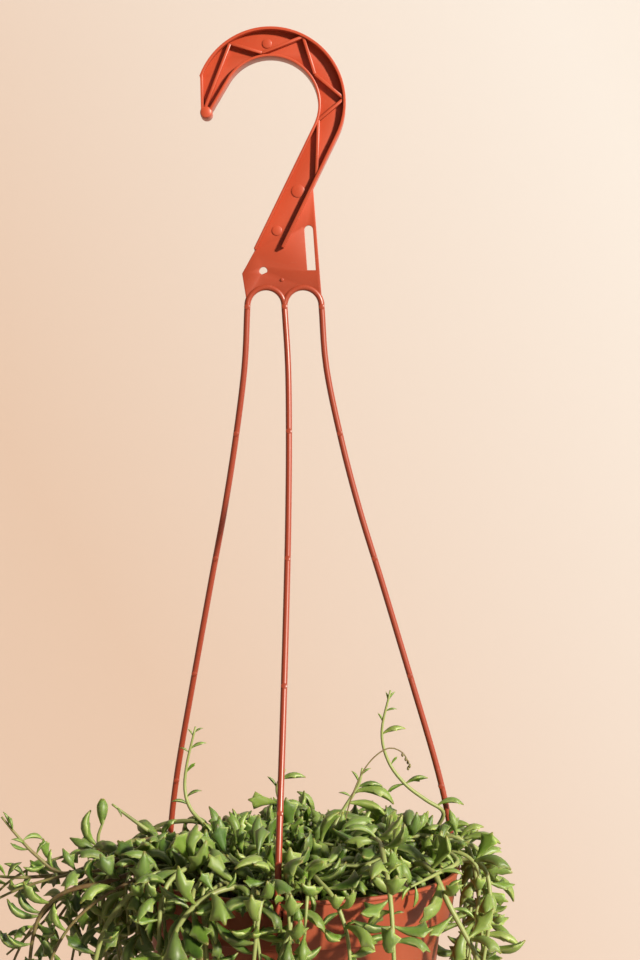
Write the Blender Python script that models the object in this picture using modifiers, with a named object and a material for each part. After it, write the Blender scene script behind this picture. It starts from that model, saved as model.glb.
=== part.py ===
"""A string of dolphins, a trailing succulent, in a hanging plastic pot.

Metres, +Z up. The origin is the inside of the hook's crown, where the hook rests on what carries it. The
hook's plate lies in the XZ plane with its face to -Y. The plant and the pot are laid out from the middle
of the pot's rim: x to the right, y to the back, z above the rim.
"""

import math
import random

import bmesh
import bpy
from mathutils import Vector

MM = 0.001
GAP = 0.0004  # between separate pieces that lie on each other

# Pot
RIM_CENTRE = Vector((0.0115, 0.0, -0.371))
RIM_RADIUS = 0.075
POT_HEIGHT = 0.115
WALL = 0.0014
BAND_HEIGHT = 0.022
BAND_DRAFT = math.tan(math.radians(8.5))
BODY_TOP_RADIUS = 0.0672
BODY_DRAFT = math.tan(math.radians(6.5))
LIP = 0.0007  # how far the lip's bead stands out
FLOOR = 0.0018
POT_STEPS = 32
DRAIN_COUNT = 6
DRAIN_CIRCLE = 0.036
DRAIN_RADIUS = 0.004
SOIL_CROWN = -0.005  # the soil's height against the rim, in the middle and at the wall
SOIL_EDGE = -0.010
ROOT_DEPTH = 0.006  # how deep a stem is rooted

# Hanger: hook, plate and three wires in one moulding
INNER_RADIUS = 0.022
OUTER_RADIUS = 0.0347
OUTER_DROP = 0.021  # the outer arc's centre below the crown
STEM_LEAN = math.radians(25.9)
WEB = 0.0018
FLANGE = 0.0017
FLANGE_DEPTH = 0.009
RIB = 0.0016
RIB_DEPTH = 0.0076
WIRE_RADIUS = 0.00145
WIRE_TOP = -0.1141
WIRE_XS = {"left": -0.0107, "front": 0.0064, "right": 0.0235}
WIRE_ANGLES = {"left": -127.0, "front": -4.8, "right": 106.0}  # round the rim, 0 at the front
WIRE_BOWS = {"left": 0.0, "front": 0.0026, "right": 0.0}  # how far each bulges aside
NUB_RADIUS = 0.0020
NUB_PLACES = (0.0005, 0.0595, 0.120, 0.178, 0.233, 0.254)  # along the wire
CLIP_DROP = 0.0065  # from the rim's top down to the clip's slot
CLIP_SLOT = 0.0042
CLIP_BAR = 0.0066

# Plant
LEAF_LENGTH = 0.0185
LEAF_TRIES = 14  # ways that a drawn leaf may face, the last half of them shorter
LEAF_SPACING = 0.0117
STEM_RADIUS = 0.00125
TIP_RADIUS = 0.0005
LEAF_GAP = 0.0007  # least space between leaves of different stems
STEM_GAP = 0.0012  # and between their stems
STEM_STEP = 0.017  # the length of a straight piece of a stem
# How high the crown reaches over the rim, by x, and how much lower it is for each millimetre further back
CROWN = [(-140, 32), (-120, 17), (-100, 9), (-67, 12), (-44, 19), (-21, 27), (-15, 32), (3, 36), (12, 25)]
CROWN += [(23, 25), (32, 33), (48, 31), (57, 24), (71, 23), (85, 17), (92, 10), (98, -2), (104, -34)]
CROWN += [(110, -90)]
CROWN_SLOPE = 0.19


def on_rim(degrees, radius, height):
    """A point round the pot's axis. 0 degrees is at the front, 90 at the right."""
    turn = math.radians(degrees)
    return RIM_CENTRE + Vector((radius * math.sin(turn), -radius * math.cos(turn), height))


def smooth(points, step):
    """A Catmull-Rom curve through the points, with a point about every step."""
    ends = [2 * points[0] - points[1], *points, 2 * points[-1] - points[-2]]
    line = [points[0].copy()]
    for a, b, c, d in zip(ends, ends[1:], ends[2:], ends[3:]):
        count = max(1, round((c - b).length / step))
        for n in range(1, count + 1):
            t = n / count
            bend, swing = 2 * a - 5 * b + 4 * c - d, 3 * b - a - 3 * c + d
            line.append(0.5 * (2 * b + (c - a) * t + bend * t**2 + swing * t**3))
    return line


# Objects and materials


def clear_scene():
    for obj in list(bpy.data.objects):
        bpy.data.objects.remove(obj)


def make_material(name, colour, roughness):
    material = bpy.data.materials.new(name)
    material.use_nodes = True
    shader = material.node_tree.nodes["Principled BSDF"]
    shader.inputs["Base Color"].default_value = (*colour, 1)
    shader.inputs["Roughness"].default_value = roughness
    shader.inputs["Metallic"].default_value = 0
    return material


def new_collection(name):
    collection = bpy.data.collections.new(name)
    bpy.context.scene.collection.children.link(collection)
    return collection


def add_object(name, data, collection):
    obj = bpy.data.objects.new(name, data)
    collection.objects.link(obj)
    return obj


def as_mesh(obj):
    """The curve or modified object as a plain mesh object of the same name and place."""
    bpy.context.view_layer.update()
    graph = bpy.context.evaluated_depsgraph_get()
    mesh = bpy.data.meshes.new_from_object(obj.evaluated_get(graph))
    shape = bmesh.new()
    shape.from_mesh(mesh)
    bmesh.ops.remove_doubles(shape, verts=shape.verts, dist=0.000005)
    shape.to_mesh(mesh)
    shape.free()
    name, place, collection = obj.name, obj.matrix_world.copy(), obj.users_collection[0]
    bpy.data.objects.remove(obj)
    made = add_object(name, mesh, collection)
    made.matrix_world = place
    return made


def is_closed(mesh):
    """Whether every edge of the mesh has two faces, cut into triangles as well."""
    shape = bmesh.new()
    shape.from_mesh(mesh)
    bmesh.ops.triangulate(shape, faces=shape.faces)
    closed = all(edge.is_manifold for edge in shape.edges)
    shape.free()
    return closed


def boolean(obj, others, operation):
    """Joins the others to the object, or cuts them from it, and removes them."""
    group = new_collection("operands")
    for other in others:
        for owner in list(other.users_collection):
            owner.objects.unlink(other)
        group.objects.link(other)
    modifier = obj.modifiers.new(operation.lower(), "BOOLEAN")
    modifier.operation = operation
    modifier.operand_type = "COLLECTION"
    modifier.collection = group
    for solver in ("EXACT", "MANIFOLD"):
        modifier.solver = solver
        bpy.context.view_layer.update()
        graph = bpy.context.evaluated_depsgraph_get()
        mesh = bpy.data.meshes.new_from_object(obj.evaluated_get(graph))
        if is_closed(mesh):
            break
    obj.modifiers.clear()
    obj.data = mesh
    for other in others:
        bpy.data.objects.remove(other)
    bpy.data.collections.remove(group)
    return obj


def flat_shape(name, loops, depth, collection):
    """A plate in the XZ plane, from closed outlines of (x, z), with its thickness along Y."""
    curve = bpy.data.curves.new(name, "CURVE")
    curve.dimensions = "2D"
    curve.fill_mode = "BOTH"
    curve.extrude = depth / 2
    for loop in loops:
        spline = curve.splines.new("POLY")
        spline.points.add(len(loop) - 1)
        for point, (x, z) in zip(spline.points, loop):
            point.co = (x, z, 0, 1)
        spline.use_cyclic_u = True
    obj = add_object(name, curve, collection)
    obj.rotation_euler.x = math.radians(90)
    return as_mesh(obj)


def tube(name, line, radii, resolution, collection):
    """A round bar along the line. The radii are one for each point, or one for all."""
    radii = [radii] * len(line) if isinstance(radii, float) else radii
    curve = bpy.data.curves.new(name, "CURVE")
    curve.dimensions = "3D"
    curve.bevel_depth = 1
    curve.bevel_resolution = resolution
    curve.use_fill_caps = True
    spline = curve.splines.new("POLY")
    spline.points.add(len(line) - 1)
    for point, place, radius in zip(spline.points, line, radii):
        point.co = (*place, 1)
        point.radius = radius
    return as_mesh(add_object(name, curve, collection))


def cylinder(name, start, end, radius, sides, collection):
    """A round bar or cutter from start to end, made from Blender's cone primitive."""
    mesh = bpy.data.meshes.new(name)
    shape = bmesh.new()
    bmesh.ops.create_cone(
        shape, cap_ends=True, segments=sides, radius1=radius, radius2=radius, depth=(end - start).length
    )
    shape.to_mesh(mesh)
    shape.free()
    obj = add_object(name, mesh, collection)
    obj.location = (start + end) / 2
    obj.rotation_mode = "QUATERNION"
    obj.rotation_quaternion = (end - start).to_track_quat("Z", "Y")
    return obj


def box(name, centre, size, turn, collection):
    """A block of the given size, turned about Z by an angle in degrees."""
    mesh = bpy.data.meshes.new(name)
    shape = bmesh.new()
    bmesh.ops.create_cube(shape, size=1)
    bmesh.ops.scale(shape, vec=size, verts=shape.verts)
    shape.to_mesh(mesh)
    shape.free()
    obj = add_object(name, mesh, collection)
    obj.location = centre
    obj.rotation_euler.z = math.radians(turn)
    return obj


def turned(name, profile, steps, collection):
    """A round solid from a profile of (radius, height), with its outer side first, round the pot's axis."""
    mesh = bpy.data.meshes.new(name)
    corners = [(radius, 0, height) for radius, height in profile]
    mesh.from_pydata(corners, [(n, n + 1) for n in range(len(profile) - 1)], [])
    obj = add_object(name, mesh, collection)
    screw = obj.modifiers.new("turn", "SCREW")
    screw.steps = steps
    screw.render_steps = steps
    screw.use_merge_vertices = True
    screw.merge_threshold = 0.00002
    obj.location = RIM_CENTRE
    return as_mesh(obj)


# Hanger


def arc(x, z, radius, start, end, steps):
    """Points of a circle in the XZ plane, between two angles in degrees."""
    angles = [math.radians(start + (end - start) * n / steps) for n in range(steps + 1)]
    return [(x + radius * math.cos(a), z + radius * math.sin(a)) for a in angles]


def down_stem(point, length):
    """The point that lies this far down the hook's leaning stem."""
    return point[0] - length * math.sin(STEM_LEAN), point[1] - length * math.cos(STEM_LEAN)


def strip(line, width):
    """The outline of a band of this width with the line as its middle."""
    left, right = [], []
    for n, (x, z) in enumerate(line):
        before, after = line[max(n - 1, 0)], line[min(n + 1, len(line) - 1)]
        run = Vector((after[0] - before[0], after[1] - before[1])).normalized() * width / 2
        left.append((x - run.y, z + run.x))
        right.append((x + run.y, z - run.x))
    return left + right[::-1]


LEAN = math.degrees(STEM_LEAN)
TIP_OUTER = (-0.0312, -0.0248)
TIP_BEND = (-0.0316, -0.0090)
TIP_INNER = (-0.0277, -0.0245)
PLATE_SHOULDER = (0.0197, -0.0606)
PLATE_RIGHT = (0.0237, -0.1112)
PLATE_LEFT = (-0.0131, -0.0993)
ARCH_RADIUS = (WIRE_XS["front"] - WIRE_XS["left"]) / 2
OUTER_ARC = arc(0, -OUTER_DROP, OUTER_RADIUS - FLANGE / 2, 159, -LEAN, 14)
INNER_ARC = arc(0, -INNER_RADIUS, INNER_RADIUS + FLANGE / 2, 151, -LEAN, 12)
INNER_END = down_stem(INNER_ARC[-1], 0.0629)
OUTER_END = down_stem(OUTER_ARC[-1], 0.0574)


def web_loops():
    """The outline of the hook and its plate, with the label slot and the small D-shaped hole."""
    arches = []
    for x in (WIRE_XS["right"] - ARCH_RADIUS, WIRE_XS["left"] + ARCH_RADIUS):
        arches += arc(x, WIRE_TOP, ARCH_RADIUS, 0, 180, 6)[1:-1]
        arches.append((x - ARCH_RADIUS, WIRE_TOP))
    outline = [
        TIP_OUTER,
        TIP_BEND,
        *OUTER_ARC,
        PLATE_SHOULDER,
        PLATE_RIGHT,
        (WIRE_XS["right"], WIRE_TOP),
        *arches,
        PLATE_LEFT,
        INNER_END,
        *INNER_ARC[::-1],
        TIP_INNER,
    ]
    slot_top, slot_foot, half_width = (0.0176, -0.0790), (0.0189, -0.0977), 0.00195
    slot = [
        *arc(*slot_top, half_width, 0, 180, 6),
        (slot_foot[0] - half_width, slot_foot[1]),
        (slot_foot[0] + half_width, slot_foot[1]),
    ]
    hole = arc(-0.0033, -0.0980, 0.0018, -20, 250, 9)
    return [outline, slot, hole]


def rib_ends():
    """Where the zigzag ribs start and end, from the hook's tip round to its stem."""
    tip, outer_left, inner_left = (-0.0301, -0.0238), (-0.0186, 0.0061), (-0.0039, 0.0018)
    outer_top, inner_right, outer_right = (0.0150, 0.0093), (0.0204, -0.0080), (0.0338, -0.0192)
    inner_low, outer_low = (0.0220, -0.0290), (0.0212, -0.0546)
    nodes = [tip, outer_left, inner_left, outer_top, inner_right, outer_right, inner_low, outer_low]
    return list(zip(nodes, nodes[1:]))


def wire_line(side):
    """The middle of a wire, from under the plate down to the outside of the pot's band."""
    top = Vector((WIRE_XS[side], 0, WIRE_TOP))
    foot = on_rim(WIRE_ANGLES[side], RIM_RADIUS + LIP + WIRE_RADIUS + GAP, 0.001)
    # how far out the wire has swung at each share of its drop
    swing = [(0, 0), (0.11, 0.035), (0.24, 0.145), (0.37, 0.285), (0.5, 0.45), (0.69, 0.685)]
    swing += [(0.83, 0.855), (0.92, 0.945), (1, 1)]
    points = []
    for drop, share in swing:
        aside = WIRE_BOWS[side] * math.sin(math.pi * drop**0.65)
        across, down = top.x + (foot.x - top.x) * share + aside, top.z + (foot.z - top.z) * drop
        points.append(Vector((across, foot.y * share, down)))
    return smooth(points, 0.022)


def clip_line(side):
    """The wire's end, bent inwards through the slot in the pot's band."""
    angle, outside = WIRE_ANGLES[side], RIM_RADIUS + LIP + WIRE_RADIUS + GAP
    inside = band_radius(-CLIP_DROP) - WALL - 0.0016
    return [
        on_rim(angle, outside, 0.001),
        on_rim(angle, outside, -CLIP_DROP + 0.0022),
        on_rim(angle, outside - 0.0007, -CLIP_DROP + 0.0006),
        on_rim(angle, outside - 0.0022, -CLIP_DROP),
        on_rim(angle, inside, -CLIP_DROP),
    ]


def make_hanger(collection, material):
    hanger = flat_shape("hanger", web_loops(), WEB, collection)
    parts = []

    def plate(line, width, depth):
        parts.append(flat_shape("piece", [strip(line, width)], depth, collection))

    plate([TIP_OUTER, TIP_BEND, *OUTER_ARC, OUTER_END], FLANGE, FLANGE_DEPTH)
    plate([INNER_END, *INNER_ARC[::-1], TIP_INNER], FLANGE, FLANGE_DEPTH)
    for ends in rib_ends():
        plate(ends, RIB, RIB_DEPTH)
    tip = Vector((-0.0295, 0, -0.0256))
    across = Vector((0, FLANGE_DEPTH / 2 + 0.0003, 0))
    parts.append(cylinder("piece", tip - across, tip + across, 0.0028, 10, collection))
    for x, z, radius in ((0.0127, -0.0613, 0.0030), (0.0030, -0.0795, 0.0023), (-0.0016, 0.0066, 0.0022)):
        face = Vector((x, 0, z))
        raised = Vector((0, -WEB / 2 - 0.0004, 0))
        parts.append(cylinder("piece", face, face + raised, radius, 8, collection))
    for x in (WIRE_XS["left"] + ARCH_RADIUS, WIRE_XS["right"] - ARCH_RADIUS):
        line = [Vector((px, 0, pz)) for px, pz in arc(x, WIRE_TOP, ARCH_RADIUS, 0, 180, 6)]
        parts.append(tube("piece", line, WIRE_RADIUS, 1, collection))
    for side in WIRE_XS:
        line = wire_line(side)
        parts.append(tube("piece", line[:-1] + clip_line(side), WIRE_RADIUS, 1, collection))
        across_bar = on_rim(WIRE_ANGLES[side] + 90, CLIP_BAR / 2, 0) - RIM_CENTRE
        bar = on_rim(WIRE_ANGLES[side], band_radius(-CLIP_DROP) - WALL - 0.0016, -CLIP_DROP)
        parts.append(cylinder("piece", bar - across_bar, bar + across_bar, 0.0011, 6, collection))
        for place, outwards in nub_places(line):
            half = outwards * NUB_RADIUS
            parts.append(cylinder("piece", place - half, place + half, NUB_RADIUS, 6, collection))
    boolean(hanger, parts, "UNION")
    hanger.data.materials.clear()
    hanger.data.materials.append(material)
    return hanger


def nub_places(line):
    """The moulding nubs along a wire, each with the way that its pin faced."""
    travelled, wanted = 0.0, list(NUB_PLACES)
    for a, b in zip(line, line[1:]):
        length = (b - a).length
        while wanted and travelled + length >= wanted[0]:
            place = a.lerp(b, (wanted.pop(0) - travelled) / length)
            yield place, (b - a).cross(Vector((1, 0, 0))).normalized()
        travelled += length


# Pot and soil


def band_radius(height):
    """The outside of the pot's band at a height below the rim."""
    return RIM_RADIUS + height * BAND_DRAFT


def body_radius(height):
    """The outside of the pot's body at a height below the rim."""
    return BODY_TOP_RADIUS + (height + BAND_HEIGHT) * BODY_DRAFT


def pot_radius(height):
    return band_radius(height) if height > -BAND_HEIGHT else body_radius(height)


def soil_height(radius):
    """The soil's top against the rim, gently mounded."""
    return SOIL_CROWN + (SOIL_EDGE - SOIL_CROWN) * (radius / RIM_RADIUS) ** 2


def make_pot(collection, material):
    floor = -POT_HEIGHT + FLOOR
    ledge = -BAND_HEIGHT
    profile = [
        (RIM_RADIUS - WALL, 0),
        (RIM_RADIUS + LIP * 0.4, 0),
        (RIM_RADIUS + LIP, -0.0008),
        (band_radius(-0.0022), -0.0022),
        (band_radius(ledge), ledge),
        (BODY_TOP_RADIUS, ledge),
        (body_radius(-POT_HEIGHT), -POT_HEIGHT),
        (0, -POT_HEIGHT),
        (0, floor),
        (body_radius(floor) - WALL, floor),
        (BODY_TOP_RADIUS - WALL, ledge + WALL),
        (band_radius(ledge + WALL) - WALL, ledge + WALL),
        (RIM_RADIUS - WALL, 0),
    ]
    pot = turned("pot", profile, POT_STEPS, collection)
    cutters = []
    for angle in WIRE_ANGLES.values():
        place = on_rim(angle, RIM_RADIUS, -CLIP_DROP)
        cutters.append(box("cutter", place, (CLIP_SLOT, 0.012, CLIP_SLOT), angle, collection))
    for n in range(DRAIN_COUNT):
        low = on_rim(360 * (n + 0.5) / DRAIN_COUNT, DRAIN_CIRCLE, -POT_HEIGHT - 0.002)
        cutters.append(cylinder("cutter", low, low + Vector((0, 0, 0.008)), DRAIN_RADIUS, 6, collection))
    boolean(pot, cutters, "DIFFERENCE")
    pot.data.materials.clear()
    pot.data.materials.append(material)
    return pot


def make_soil(collection, material, holes):
    """The compost, with a plain hole where each stem is rooted."""
    ledge, floor = -BAND_HEIGHT + WALL + GAP, -POT_HEIGHT + FLOOR + GAP
    edge = band_radius(SOIL_EDGE) - WALL - GAP
    top = [(radius, soil_height(radius)) for radius in (0, 0.028, 0.054)]
    profile = [
        *top,
        (edge, SOIL_EDGE),
        (band_radius(ledge) - WALL - GAP, ledge),
        (BODY_TOP_RADIUS - WALL - GAP, ledge),
        (body_radius(floor) - WALL - GAP, floor),
        (0, floor),
    ]
    soil = turned("soil", profile, 20, collection)
    down, up = Vector((0, 0, -ROOT_DEPTH - 0.001)), Vector((0, 0, 0.004))
    cutters = [cylinder("cutter", place + down, place + up, radius, 4, collection) for place, radius in holes]
    boolean(soil, cutters, "DIFFERENCE")
    soil.data.materials.clear()
    soil.data.materials.append(material)
    return soil


# Plant: where each stem runs


def rooted(x, y):
    """The foot of a stem, straight up out of the soil."""
    height = soil_height(math.hypot(x, y) * MM) / MM
    return [(x, y, height - ROOT_DEPTH / MM), (x, y, height + 3)]


# The stems that the eye finds first, as points in millimetres from the middle of the rim. Each one names
# the share of its length where leaves start, the size of its lowest and highest leaves and its thickness.
LEADERS = {
    "shoot_left": (
        [*rooted(-30, -6), (-40, -4, 16), (-48, -2, 25), (-51, 0, 34), (-50, 0, 46), (-46, -1, 63)],
        (0.30, 1.0, 0.30, 0.8),
    ),
    "shoot_right": (
        [*rooted(56, 20), (66, 18, 12), (69, 14, 21), (61, 11, 27), (51, 8, 35), (43, 7, 46), (40, 6, 60),
         (44, 5, 79)],
        (0.22, 1.0, 0.28, 0.8),
    ),
    "shoot_middle": (
        [*rooted(2, 26), (0, 22, 12), (-6, 18, 22), (-9, 16, 32), (-5, 14, 41)],
        (0.35, 1.0, 0.8, 0.8),
    ),
    "shoot_inner_right": (
        [*rooted(12, -4), (16, -2, 13), (22, 2, 24), (29, 4, 35), (31, 5, 43)],
        (0.35, 1.0, 0.6, 0.85),
    ),
    "front_straight": (
        [*rooted(33, -24), (34, -36, 17), (37, -54, 20), (39, -70, 13), (41, -81, -2), (42, -85, -24),
         (43, -84, -46), (43, -82, -62)],
        (0.22, 1.05, 0.9, 1.0),
    ),
    "front_inner": (
        [*rooted(12, -44), (9, -58, 6), (11, -70, 7), (17, -79, 2), (22, -83, -10), (24, -84, -26),
         (24, -83, -50)],
        (0.30, 1.0, 0.8, 0.9),
    ),
    "front_middle": (
        [*rooted(4, -52), (1, -64, 5), (-1, -76, 4), (-1, -84, -8), (-7, -86, -26), (-13, -85, -46),
         (-14, -82, -66)],
        (0.18, 1.1, 0.9, 1.0),
    ),
    "front_left": (
        [*rooted(-12, -56), (-20, -68, 4), (-32, -76, 4), (-44, -80, -4), (-52, -80, -20), (-55, -78, -42),
         (-56, -75, -68)],
        (0.15, 1.05, 0.9, 1.0),
    ),
    "right_trail": (
        [*rooted(48, -20), (54, -34, 7), (61, -45, 5), (67, -51, -7), (73, -52, -18), (80, -52, -32),
         (84, -50, -52), (86, -48, -74)],
        (0.20, 1.1, 0.8, 1.1),
    ),
    "right_branch": (
        [*rooted(60, -8), (67, -22, 9), (72, -36, 8), (62, -50, 6), (50, -62, 3)],
        (0.20, 1.0, 0.8, 0.95),
    ),
    "right_clump": (
        [*rooted(56, 4), (67, -4, 12), (76, -6, 12), (81, -5, 3), (84, -4, -14), (86, -2, -38), (86, 0, -62)],
        (0.15, 1.05, 0.85, 1.0),
    ),
    "left_reach": (
        [*rooted(-50, 4), (-66, 0, 7), (-84, -4, 4), (-100, -8, -2), (-116, -10, -4), (-132, -11, -4),
         (-146, -12, -1)],
        (0.15, 0.95, 0.5, 0.9),
    ),
    "left_rise": (
        [*rooted(-54, -14), (-68, -18, 6), (-88, -22, 4), (-104, -22, 0), (-116, -22, 8), (-125, -21, 17),
         (-132, -20, 25)],
        (0.16, 0.95, 0.4, 0.85),
    ),
    "left_arch": (
        [*rooted(-46, -26), (-64, -34, 4), (-82, -38, 0), (-99, -38, -4), (-109, -37, -11), (-114, -36, -20),
         (-117, -34, -36), (-118, -32, -62)],
        (0.16, 0.95, 0.8, 0.9),
    ),
    "left_fall": (
        [*rooted(-40, -38), (-54, -50, 5), (-68, -56, 0), (-80, -58, -14), (-86, -57, -34), (-89, -55, -58),
         (-90, -52, -86)],
        (0.16, 1.0, 0.8, 1.0),
    ),
    "left_crown": (
        [*rooted(-46, 16), (-57, 15, 5), (-66, 14, 10), (-77, 13, 18), (-86, 12, 25)],
        (0.20, 1.0, 1.0, 1.0),
    ),
    "left_post": (
        [*rooted(-56, 28), (-68, 24, 8), (-82, 16, 4), (-90, 11, 3), (-92, 8, 10), (-89, 6, 19)],
        (0.20, 1.0, 1.0, 1.0),
    ),
    "left_hump": (
        [*rooted(-22, 10), (-29, 9, 7), (-38, 7, 12), (-46, 5, 15), (-54, 4, 12)],
        (0.25, 1.0, 0.9, 0.9),
    ),
}

# Their leaves that have a chosen place: after the share of the stem's length where the drawn leaves stop,
# each is the share where it stands, the way from its foot to its nose in the XZ plane (0 right, 90 up), the
# side that it bends to (0 left of that way, 90 the front), in degrees, its length in millimetres, its bend.
BY_HAND = {
    "shoot_left": (
        0.5,
        ((0.54, 166, 20, 9.1, 1.3), (0.59, 22, 180, 8.3, 1.2), (0.73, 50, 120, 7.2, 0.8),
         (0.85, 151, 20, 5.2, 0.9), (0.87, 22, 180, 8.5, 0.9), (0.94, 120, 30, 4.7, 0.8),
         (0.96, 33, 180, 5.2, 0.8)),
    ),
    "shoot_right": (
        0.36,
        ((0.40, 0, 180, 13.7, 1.6), (0.57, -154, 40, 9.8, 0.9), (0.57, 15, 150, 11.3, 0.9),
         (0.67, 56, 120, 5.5, 0.8), (0.76, 104, 20, 3.9, 0.8), (0.81, 14, 180, 11.7, 0.9),
         (0.86, 113, 30, 5.6, 0.8), (0.91, 13, 180, 5.8, 0.9), (0.95, 53, 160, 6.3, 0.7),
         (0.95, 100, 20, 5.1, 0.7)),
    ),
    "shoot_middle": (
        0.6,
        ((0.68, -11, 200, 10.9, 1.4), (0.69, 175, 100, 15.9, 1.0), (0.81, 127, 30, 7.7, 0.9),
         (0.89, 7, 170, 13.1, 0.9)),
    ),
    "shoot_inner_right": (
        0.6,
        ((0.70, -22, 150, 19.9, 1.0), (0.75, 163, 20, 6.4, 1.0), (0.79, -19, 175, 20.9, 1.6),
         (0.84, 0, 160, 12.2, 1.0), (0.87, 116, 20, 7.3, 0.8), (0.93, 42, 170, 6.2, 0.8)),
    ),
    "front_straight": (
        0.9,
        ((0.36, 176, 340, 15.9, 0.7), (0.50, 43, 150, 8.9, 1.1), (0.61, 12, 180, 5.5, 1.0),
         (0.64, 168, 190, 17.8, 1.0), (0.67, -160, 30, 14.2, 1.0)),
    ),
    "front_inner": (
        1.0,
        ((0.26, -36, 150, 21.5, 0.9), (0.25, 38, 350, 14.8, 1.3), (0.55, -138, 20, 10.4, 1.0),
         (0.61, 38, 170, 6.7, 1.0)),
    ),
    "front_middle": (
        1.0,
        ((0.37, 160, 100, 11.5, 1.1), (0.36, 55, 80, 11.0, 1.0), (0.41, -32, 165, 18.5, 1.2),
         (0.48, -52, 260, 7.7, 0.9), (0.49, -170, 20, 14.6, 1.0)),
    ),
    "front_left": (
        1.0,
        ((0.21, 45, 30, 10.1, 1.2), (0.27, -26, 175, 12.4, 1.3), (0.31, 52, 20, 9.8, 1.3),
         (0.34, 124, 100, 10.6, 1.0), (0.39, -47, 130, 14.2, 1.2), (0.44, 166, 20, 11.5, 1.2)),
    ),
    "right_trail": (
        1.0,
        ((0.36, -122, 200, 22.5, 0.9), (0.41, 40, 160, 10.5, 1.0), (0.46, -21, 150, 11.0, 1.1)),
    ),
    "right_branch": (
        0.55,
        ((0.63, 144, 20, 12.3, 1.1), (0.76, -9, 170, 10.5, 1.0), (0.97, -91, 190, 9.9, 0.8),
         (0.97, -130, 20, 9.0, 1.2)),
    ),
    "right_clump": (
        1.0,
        ((0.30, 167, 10, 13.5, 1.1), (0.32, 105, 290, 13.5, 1.0), (0.34, 24, 180, 13.2, 1.6),
         (0.35, -8, 165, 18.5, 1.2), (0.45, -15, 80, 19.2, 0.8), (0.49, -24, 110, 12.5, 1.2),
         (0.57, -19, 90, 15.3, 1.0), (0.71, 19, 170, 12.0, 1.2), (0.75, -17, 160, 19.4, 1.1)),
    ),
    "left_reach": (
        1.0,
        ((0.66, -139, 20, 10.4, 1.1), (0.73, 130, 20, 7.7, 0.9), (0.79, 144, 20, 11.7, 0.8),
         (0.86, 44, 180, 10.2, 1.0)),
    ),
    "left_rise": (
        1.0,
        ((0.67, 96, 200, 10.1, 1.2), (0.77, 50, 180, 8.4, 1.0), (0.83, 147, 20, 8.0, 0.8),
         (0.95, 110, 20, 6.9, 0.8)),
    ),
    "left_arch": (
        1.0,
        ((0.47, -43, 170, 9.7, 1.2), (0.53, -71, 150, 10.2, 1.0), (0.63, 131, 180, 15.4, 1.6),
         (0.64, 151, 185, 17.8, 1.6), (0.68, -33, 90, 12.1, 1.0)),
    ),
    "left_crown": (
        0.5,
        ((0.67, -46, 160, 14.2, 0.8), (0.81, -52, 285, 17.4, 0.8), (0.97, -56, 180, 6.0, 0.7)),
    ),
    "left_post": (
        0.62,
        ((0.76, 158, 260, 16.8, 0.7), (0.81, 103, 180, 18.5, 1.8), (0.97, 89, 280, 10.0, 0.6)),
    ),
    "left_hump": (
        1.0,
        ((0.56, 76, 20, 16.9, 1.5), (0.66, 105, 330, 16.0, 1.2), (0.72, 134, 20, 13.5, 1.2)),
    ),
}
TIPPING = (0, 12, -12, 24, -24, 38, -38, 52)  # degrees to the front, tried until the leaf is clear

# The rest trail over the rim all round, or stay on top, by rule: name, angles round the rim, root circle,
# height over the soil on the way, and how far below the rim they end.
RINGS = [
    ("back", (92, 130, 168, 206, 244, 282), 0.052, 0.008, (-0.105, -0.050)),
    ("over", (-12, 76, 104, 150, 195, 240, 288, 322), 0.034, 0.013, (-0.070, -0.030)),
]
RING_WANDER = 11  # degrees
RING_GROWTH = (0.2, 1.0, 0.75, 0.95)
MOUND_COUNT = 12  # stems that stay on top
MOUND_RADIUS = 0.064
MOUND_STRIDE = 0.014
MOUND_HEIGHTS = (0.003, 0.012)  # of their middles over the rim
MOUND_GROWTH = (0.16, 0.95, 0.8, 0.9)
STEM_COVER = 0.003  # how far they stay under the crown's top


def ring_route(kind, n, draw):
    """A stem by rule. Each lies in its own slice of the pot, and wanders a little."""
    _, angles, circle, arch, (low, high) = kind
    angle = angles[n] + draw.uniform(-RING_WANDER, RING_WANDER)
    root = circle * draw.uniform(0.8, 1.2)
    end, swing = draw.uniform(low, high), draw.uniform(-14, 14)
    foot = soil_height(root)
    over = foot + arch + draw.uniform(0, 0.006)
    turns = [(root, 0, foot - ROOT_DEPTH), (root, 0, foot + 0.003)]
    turns += [(root + 0.35 * (RIM_RADIUS - root), 0.2, over), (RIM_RADIUS - 0.002, 0.5, over * 0.9)]
    turns += [(RIM_RADIUS + 0.012, 0.7, over * 0.2), (RIM_RADIUS + 0.015, 0.9, -0.018)]
    drops = max(1, round((-0.018 - end) / 0.022))
    turns += [
        (RIM_RADIUS + 0.014 - 0.002 * k, 1 + 0.1 * k, -0.018 + (end + 0.018) * k / drops)
        for k in range(1, drops + 1)
    ]
    return [on_rim(angle + swing * share, radius, height) for radius, share, height in turns]


def mound_route(n, draw):
    """A stem that creeps over the others on top of the pot, in a slow curve."""
    start = 137.5 * n + draw.uniform(-40, 40)
    place = on_rim(start, draw.uniform(0.010, 0.056), 0)
    foot = soil_height((place - RIM_CENTRE).to_2d().length)
    heading, curl = draw.uniform(0, 360), draw.uniform(-35, 35)
    crest = draw.uniform(*MOUND_HEIGHTS)
    points = [place + Vector((0, 0, foot - ROOT_DEPTH)), place + Vector((0, 0, foot + 0.003))]
    for height in (crest * 0.8, crest, crest * 0.9, crest * 0.9 + draw.uniform(-0.003, 0.008)):
        place = place + on_rim(heading, MOUND_STRIDE, 0) - RIM_CENTRE
        heading += curl
        points.append(place + Vector((0, 0, height)))
    return points


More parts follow.
